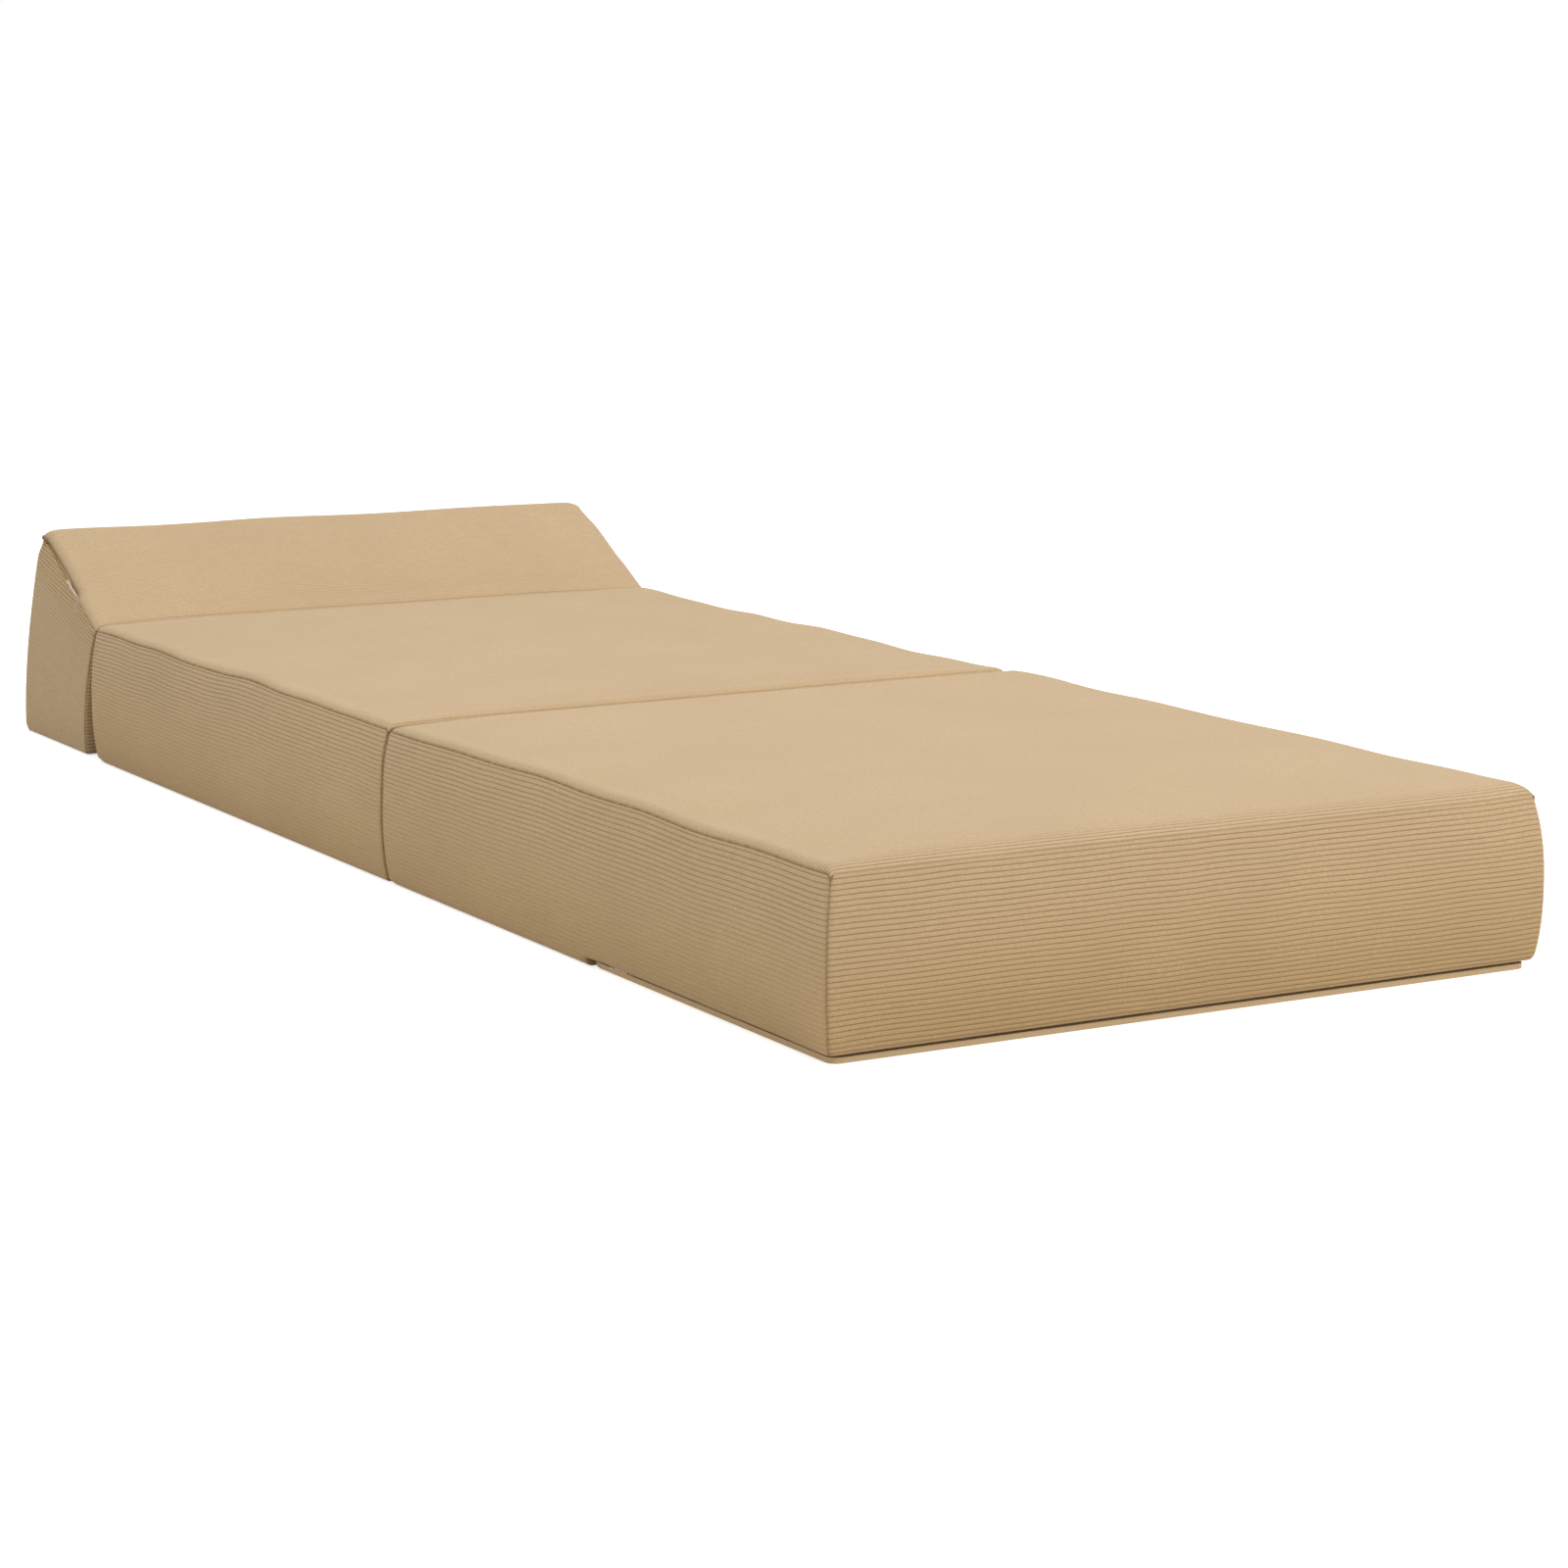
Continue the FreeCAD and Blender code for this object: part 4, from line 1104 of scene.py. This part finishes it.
# The base cloth and the zip tapes have their own warm pale colours, made paler still: painted light
# that lifts the shade they lie in below the walls.
BASE_CLOTH_WITH_PAINTED_LIGHT = woven("base_cloth", (0.72, 0.52, 0.29), thread=320.0)
HINGE_CLOTH = woven("hinge_cloth", (0.46, 0.34, 0.20), thread=320.0)
TAPE_WITH_PAINTED_LIGHT = woven("zip_tape", (0.92, 0.68, 0.41), thread=520.0)
FOAM = speckled("foam", (0.80, 0.74, 0.52), roughness=0.95, scale=260.0, spread=0.18, distance=0.0008)
NYLON = speckled("zip_coil", (0.58, 0.45, 0.29), roughness=0.45, scale=300.0, spread=0.10,
                 distance=0.0001)
METAL = speckled("zip_metal", (0.74, 0.62, 0.44), roughness=0.38, scale=160.0, spread=0.08,
                 distance=0.0001, metallic=0.15)

# ---- covers ----
FOOT_ZIP = (-math.inf, FOOT_BAND_END)
sections = {
    "foot": (block_panels("foot", *FOOT_Y, True, 10, FOOT_ZIP, FOOT_ZIP), {}),
    "mid": (block_panels("mid", *MID_Y, False, 30, None, MID_BAND), {}),
    "head": wedge_panels(50),
}
for prefix, (panels, strips) in sections.items():
    settle(prefix, panels)
    for key, strip in strips.items():
        strip.moved = panels[key].moved
    for key, panel in panels.items():
        thing = plain_mesh(panel) if panel.plain else ribbed_mesh(panel)
        if key in strips:
            other = ribbed_mesh(strips[key])
            pair = [thing, other]
            with bpy.context.temp_override(active_object=thing, selected_editable_objects=pair):
                bpy.ops.object.join()
        thing.data.materials.append(BASE_CLOTH_WITH_PAINTED_LIGHT if panel.plain else CORDUROY)
        node = prefix + "_" + ("slope" if prefix == "head" and key == "top" else key) + "_panel"
        thing.name = node.replace("_panel", "_cover")
        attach(thing, prefix + "_section")
        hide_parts(node)

# ---- foam ----
FOAM_SIDE = 0.011  # foam behind the seams
FOAM_TOP = 0.009
FOAM_BOTTOM = 0.006
FOAM_WEDGE = 0.022  # the wedge's corners are drawn in towards its middle by this
FOAM_ROUND = 0.006


def foam_core(prefix, outline):
    """Foam block: a convex outline in Y and Z, swept across and rounded."""
    build = bmesh.new()
    for x in (-HALF + FOAM_SIDE, HALF - FOAM_SIDE):
        for place in outline:
            build.verts.new((x, place[1], place[2]))
    bmesh.ops.convex_hull(build, input=build.verts)
    bmesh.ops.dissolve_limit(build, angle_limit=0.01, verts=build.verts, edges=build.edges)
    bmesh.ops.bevel(build, geom=build.edges[:], offset=FOAM_ROUND, segments=3, affect="EDGES",
                    profile=0.5)
    mesh = bpy.data.meshes.new(prefix + "_foam")
    build.to_mesh(mesh)
    build.free()
    mesh.materials.append(FOAM)
    thing = linked(prefix + "_foam", mesh)
    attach(thing, prefix + "_section")
    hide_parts(prefix + "_foam_core")


def drawn_in(outline, distance):
    """The outline moved towards its middle by about this much."""
    middle = sum(outline) / len(outline)
    return [p + unit(middle - p) * distance for p in outline]


for prefix, (y0, y1) in (("foot", FOOT_Y), ("mid", MID_Y)):
    foam_core(prefix, [point(0, y, z) for y, z in (
        (y0 + FOAM_SIDE, FOAM_BOTTOM), (y1 - FOAM_SIDE, FOAM_BOTTOM),
        (y1 - FOAM_SIDE, SEAM_Z - FOAM_TOP), (y0 + FOAM_SIDE, SEAM_Z - FOAM_TOP))])
foam_core("head", drawn_in([point(0, VALLEY_Y, SEAM_Z), point(0, RIDGE_Y, RIDGE_Z),
                            point(0, WEDGE_BACK_Y, 0), point(0, WEDGE_FRONT_Y, 0)], FOAM_WEDGE))

# ---- zip coils ----
PITCH = 0.0015  # from tooth to tooth
TOOTH = COIL / 2 - 0.0004  # radius of a tooth, clear of the slider's plates
STAGGER = 0.0003  # every other tooth lies this much up or down
TOOTH_SHARE = 0.42  # half the length of a tooth, as a share of the pitch
TOOTH_SIDES = 8


def u_path(leg):
    """Middle line of a zip that goes down both legs and across the end, in its own plane."""
    wide = HALF - TAPE_PLANE
    r = CHAIN_CORNER
    turns = np.linspace(0, math.pi / 2, 7)
    left = [(-wide + r - r * math.cos(t), TAPE_PLANE + r - r * math.sin(t), 0) for t in turns]
    right = [(-x, y, z) for x, y, z in reversed(left)]
    return np.array([(-wide, leg, 0)] + left + right + [(wide, leg, 0)])


def evenly(path, pitch):
    """Places and directions at even steps along a path."""
    steps = np.linalg.norm(np.diff(path, axis=0), axis=1)
    length = np.concatenate([[0], np.cumsum(steps)])
    at = np.arange(pitch / 2, length[-1], pitch)
    places = np.stack([np.interp(at, length, path[:, i]) for i in range(3)], axis=1)
    cell = np.clip(np.searchsorted(length, at) - 1, 0, len(steps) - 1)
    return places, (np.diff(path, axis=0) / steps[:, None])[cell]


def zip_coil(prefix, path, normal):
    """Interlocked nylon teeth: short rounded bars across the tapes."""
    places, ways = evenly(path, PITCH)
    turns = np.linspace(0, 2 * math.pi, TOOTH_SIDES + 1)[:-1]
    points, faces = [], []
    for number, (place, way) in enumerate(zip(places, ways)):
        out = np.cross(way, normal)
        middle = place + (STAGGER if number % 2 else -STAGGER) * normal
        start = len(points)
        for end in (-TOOTH_SHARE, TOOTH_SHARE):
            for t in turns:
                bar = out * math.cos(t) + normal * math.sin(t)
                points.append(middle + way * PITCH * end + bar * TOOTH)
        near = range(start, start + TOOTH_SIDES)
        faces += [(near[i], near[j], near[j] + TOOTH_SIDES, near[i] + TOOTH_SIDES)
                  for i, j in ring_edges(TOOTH_SIDES)]
        faces += [tuple(near)[::-1], tuple(k + TOOTH_SIDES for k in near)]
    thing = solid(prefix + "_teeth", points, faces, NYLON)
    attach(thing, prefix + "_section")
    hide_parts(prefix + "_zip_coil")


FOOT_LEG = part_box("foot_zip_coil")[1].y - FOOT_Y[0]
zip_coil("foot", u_path(FOOT_LEG) + point(0, FOOT_Y[0], CHAIN_LEVEL), Z)
low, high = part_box("mid_zip_coil")
zip_coil("mid", np.array([(HALF - TAPE_PLANE, y, CHAIN_LEVEL) for y in (low.y, high.y)]), Z)
head_path = u_path(HEAD_LEG)
head_path = (head_path[:, :1] * X - head_path[:, 1:2] * SLANT
             + point(0, RIDGE_Y, RIDGE_Z) - SLOPE_OUT * CHAIN_LEVEL)
zip_coil("head", head_path, SLOPE_OUT)

FINISHES = {"tape": TAPE_WITH_PAINTED_LIGHT, "slider": METAL, "pull": METAL, "stops": METAL}
for name, node in frame["nodes"].items():
    for word, finish in FINISHES.items():
        if name.endswith(word):
            node.data.materials.clear()
            node.data.materials.append(finish)


# ---- hinge cloths ----
def swept_cloth(name, line, x0, x1, thickness):
    """Cloth of even thickness: a line in Y and Z swept across."""
    line = np.array(line)
    ways = np.gradient(line, axis=0)
    ways /= np.linalg.norm(ways, axis=1)[:, None]
    sides = np.stack([-ways[:, 1], ways[:, 0]], axis=1) * thickness / 2
    ring = np.concatenate([line + sides, (line - sides)[::-1]])
    count = len(ring)
    points = [(x, y, z) for x in (x0, x1) for y, z in ring]
    faces = [(i, j, count + j, count + i) for i, j in ring_edges(count)]
    for k in range(len(line) - 1):
        mate = count - 1 - k
        faces.append((k, k + 1, mate - 1, mate)[::-1])
        faces.append((count + k, count + k + 1, count + mate - 1, count + mate))
    return solid(name, points, faces, HINGE_CLOTH)


TURN = 0.0016  # half the length of the hinge cloth that gets close rows of vertices at the foot fold, where the real cloth turns
BEND = 0.0008  # radius at the top of the head's hinge cloth, and its length beyond
low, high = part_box("foot_hinge_strip")
level = (low.z + high.z) / 2
places = np.concatenate([[low.y], np.linspace(FOLD_Y - TURN, FOLD_Y + TURN, 25), [high.y]])
line = [(y, level) for y in places]
foot_strip = swept_cloth("foot_hinge_cloth", line, low.x, high.x, high.z - low.z)
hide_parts("foot_hinge_strip")
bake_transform(foot_strip)

low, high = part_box("head_hinge_strip")
near = (low.y + high.y) / 2
top = high.z - 0.001
line = [(near, z) for z in np.linspace(low.z, top - BEND, 8)]
line += [(near + BEND - BEND * math.cos(t), top - BEND + BEND * math.sin(t))
         for t in np.linspace(0.1, math.pi / 2, 6)]
line += [(near + BEND + d, top) for d in np.linspace(0.0001, BEND, 18)]
head_strip = swept_cloth("head_hinge_cloth", line, low.x, high.x, high.y - low.y)
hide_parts("head_hinge_strip")
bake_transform(head_strip)

# ---- stage ----
FLOOR_REACH = 9.0
FLOOR_GLOW = 0.62  # what the camera sees on top of the floor's own light
SKY = 0.60
# The camera, matched to the photo.
LENS = 88.53
SENSOR = 36
CAMERA_PLACE = Vector((-1.9569, -3.6685, 0.7797))
YAW, PITCH, ROLL = 0.52263, 0.17320, 0.00204


def floor_material():
    """Pale floor. The camera sees it bright enough to be white away from the object's shadow."""
    made, tree, shader = material("floor", (0.9, 0.9, 0.9))
    seen = add_node(tree, "LightPath")["Is Camera Ray"]
    fill(tree, shader, {"Specular IOR Level": 0.0, "Emission Color": (1, 1, 1, 1),
                        "Emission Strength": ranged(tree, seen, 0.0, 1.0, 0.0, FLOOR_GLOW)})
    return made


def stage():
    mesh = bpy.data.meshes.new("floor")
    reach = FLOOR_REACH
    corners = [(-reach, -reach, 0), (reach, -reach, 0), (reach, reach, 0), (-reach, reach, 0)]
    mesh.from_pydata(corners, [], [(0, 1, 2, 3)])
    mesh.materials.append(floor_material())
    linked("floor", mesh)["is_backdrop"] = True


def world():
    """Soft light from all round, which the camera, metal and glass see as white."""
    made = bpy.data.worlds.new("world")
    bpy.context.scene.world = made
    made.use_nodes = True
    tree = made.node_tree
    tree.nodes.clear()
    path = add_node(tree, "LightPath")
    seen = path["Is Camera Ray"]
    for ray in ("Is Glossy Ray", "Is Transmission Ray"):
        seen = calculated(tree, "MAXIMUM", seen, path[ray])
    soft = add_node(tree, "Background", {"Color": (0.8, 0.8, 0.8, 1), "Strength": SKY})
    white = add_node(tree, "Background", {"Color": (1, 1, 1, 1), "Strength": 1.0})
    mix = add_node(tree, "MixShader", {0: seen, 1: soft[0], 2: white[0]})
    add_node(tree, "OutputWorld", {"Surface": mix[0]})


def lamp(name, place, aim, size, power):
    data = bpy.data.lights.new(name, "AREA")
    data.shape = "DISK"
    data.size = size
    data.energy = power
    thing = linked(name, data)
    thing.location = place
    thing.rotation_euler = (Vector(aim) - Vector(place)).to_track_quat("-Z", "Y").to_euler()


def camera():
    data = bpy.data.cameras.new("camera")
    data.lens = LENS
    data.sensor_width = SENSOR
    data.clip_end = 200
    thing = linked("camera", data)
    level = math.cos(PITCH)
    forward = Vector((math.sin(YAW) * level, math.cos(YAW) * level, -math.sin(PITCH)))
    right = Vector((math.cos(YAW), -math.sin(YAW), 0))
    up = right.cross(forward)
    tilted_right = right * math.cos(ROLL) + up * math.sin(ROLL)
    tilted_up = up * math.cos(ROLL) - right * math.sin(ROLL)
    rotation = Matrix((tilted_right, tilted_up, -forward)).transposed()
    thing.matrix_world = Matrix.LocRotScale(CAMERA_PLACE, rotation, None)
    bpy.context.scene.camera = thing


stage()
world()
lamp("key", (2.6, -4.1, 2.75), (0, 0, 0.1), 3.25, 151)
lamp("top", (0, 0.4, 4.0), (0, 0.4, 0), 3.5, 61)
lamp("fill", (-3.2, -0.6, 1.3), (0, 0, 0.1), 2.0, 19)
camera()
bpy.context.scene.view_settings.view_transform = "Standard"

low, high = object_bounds()
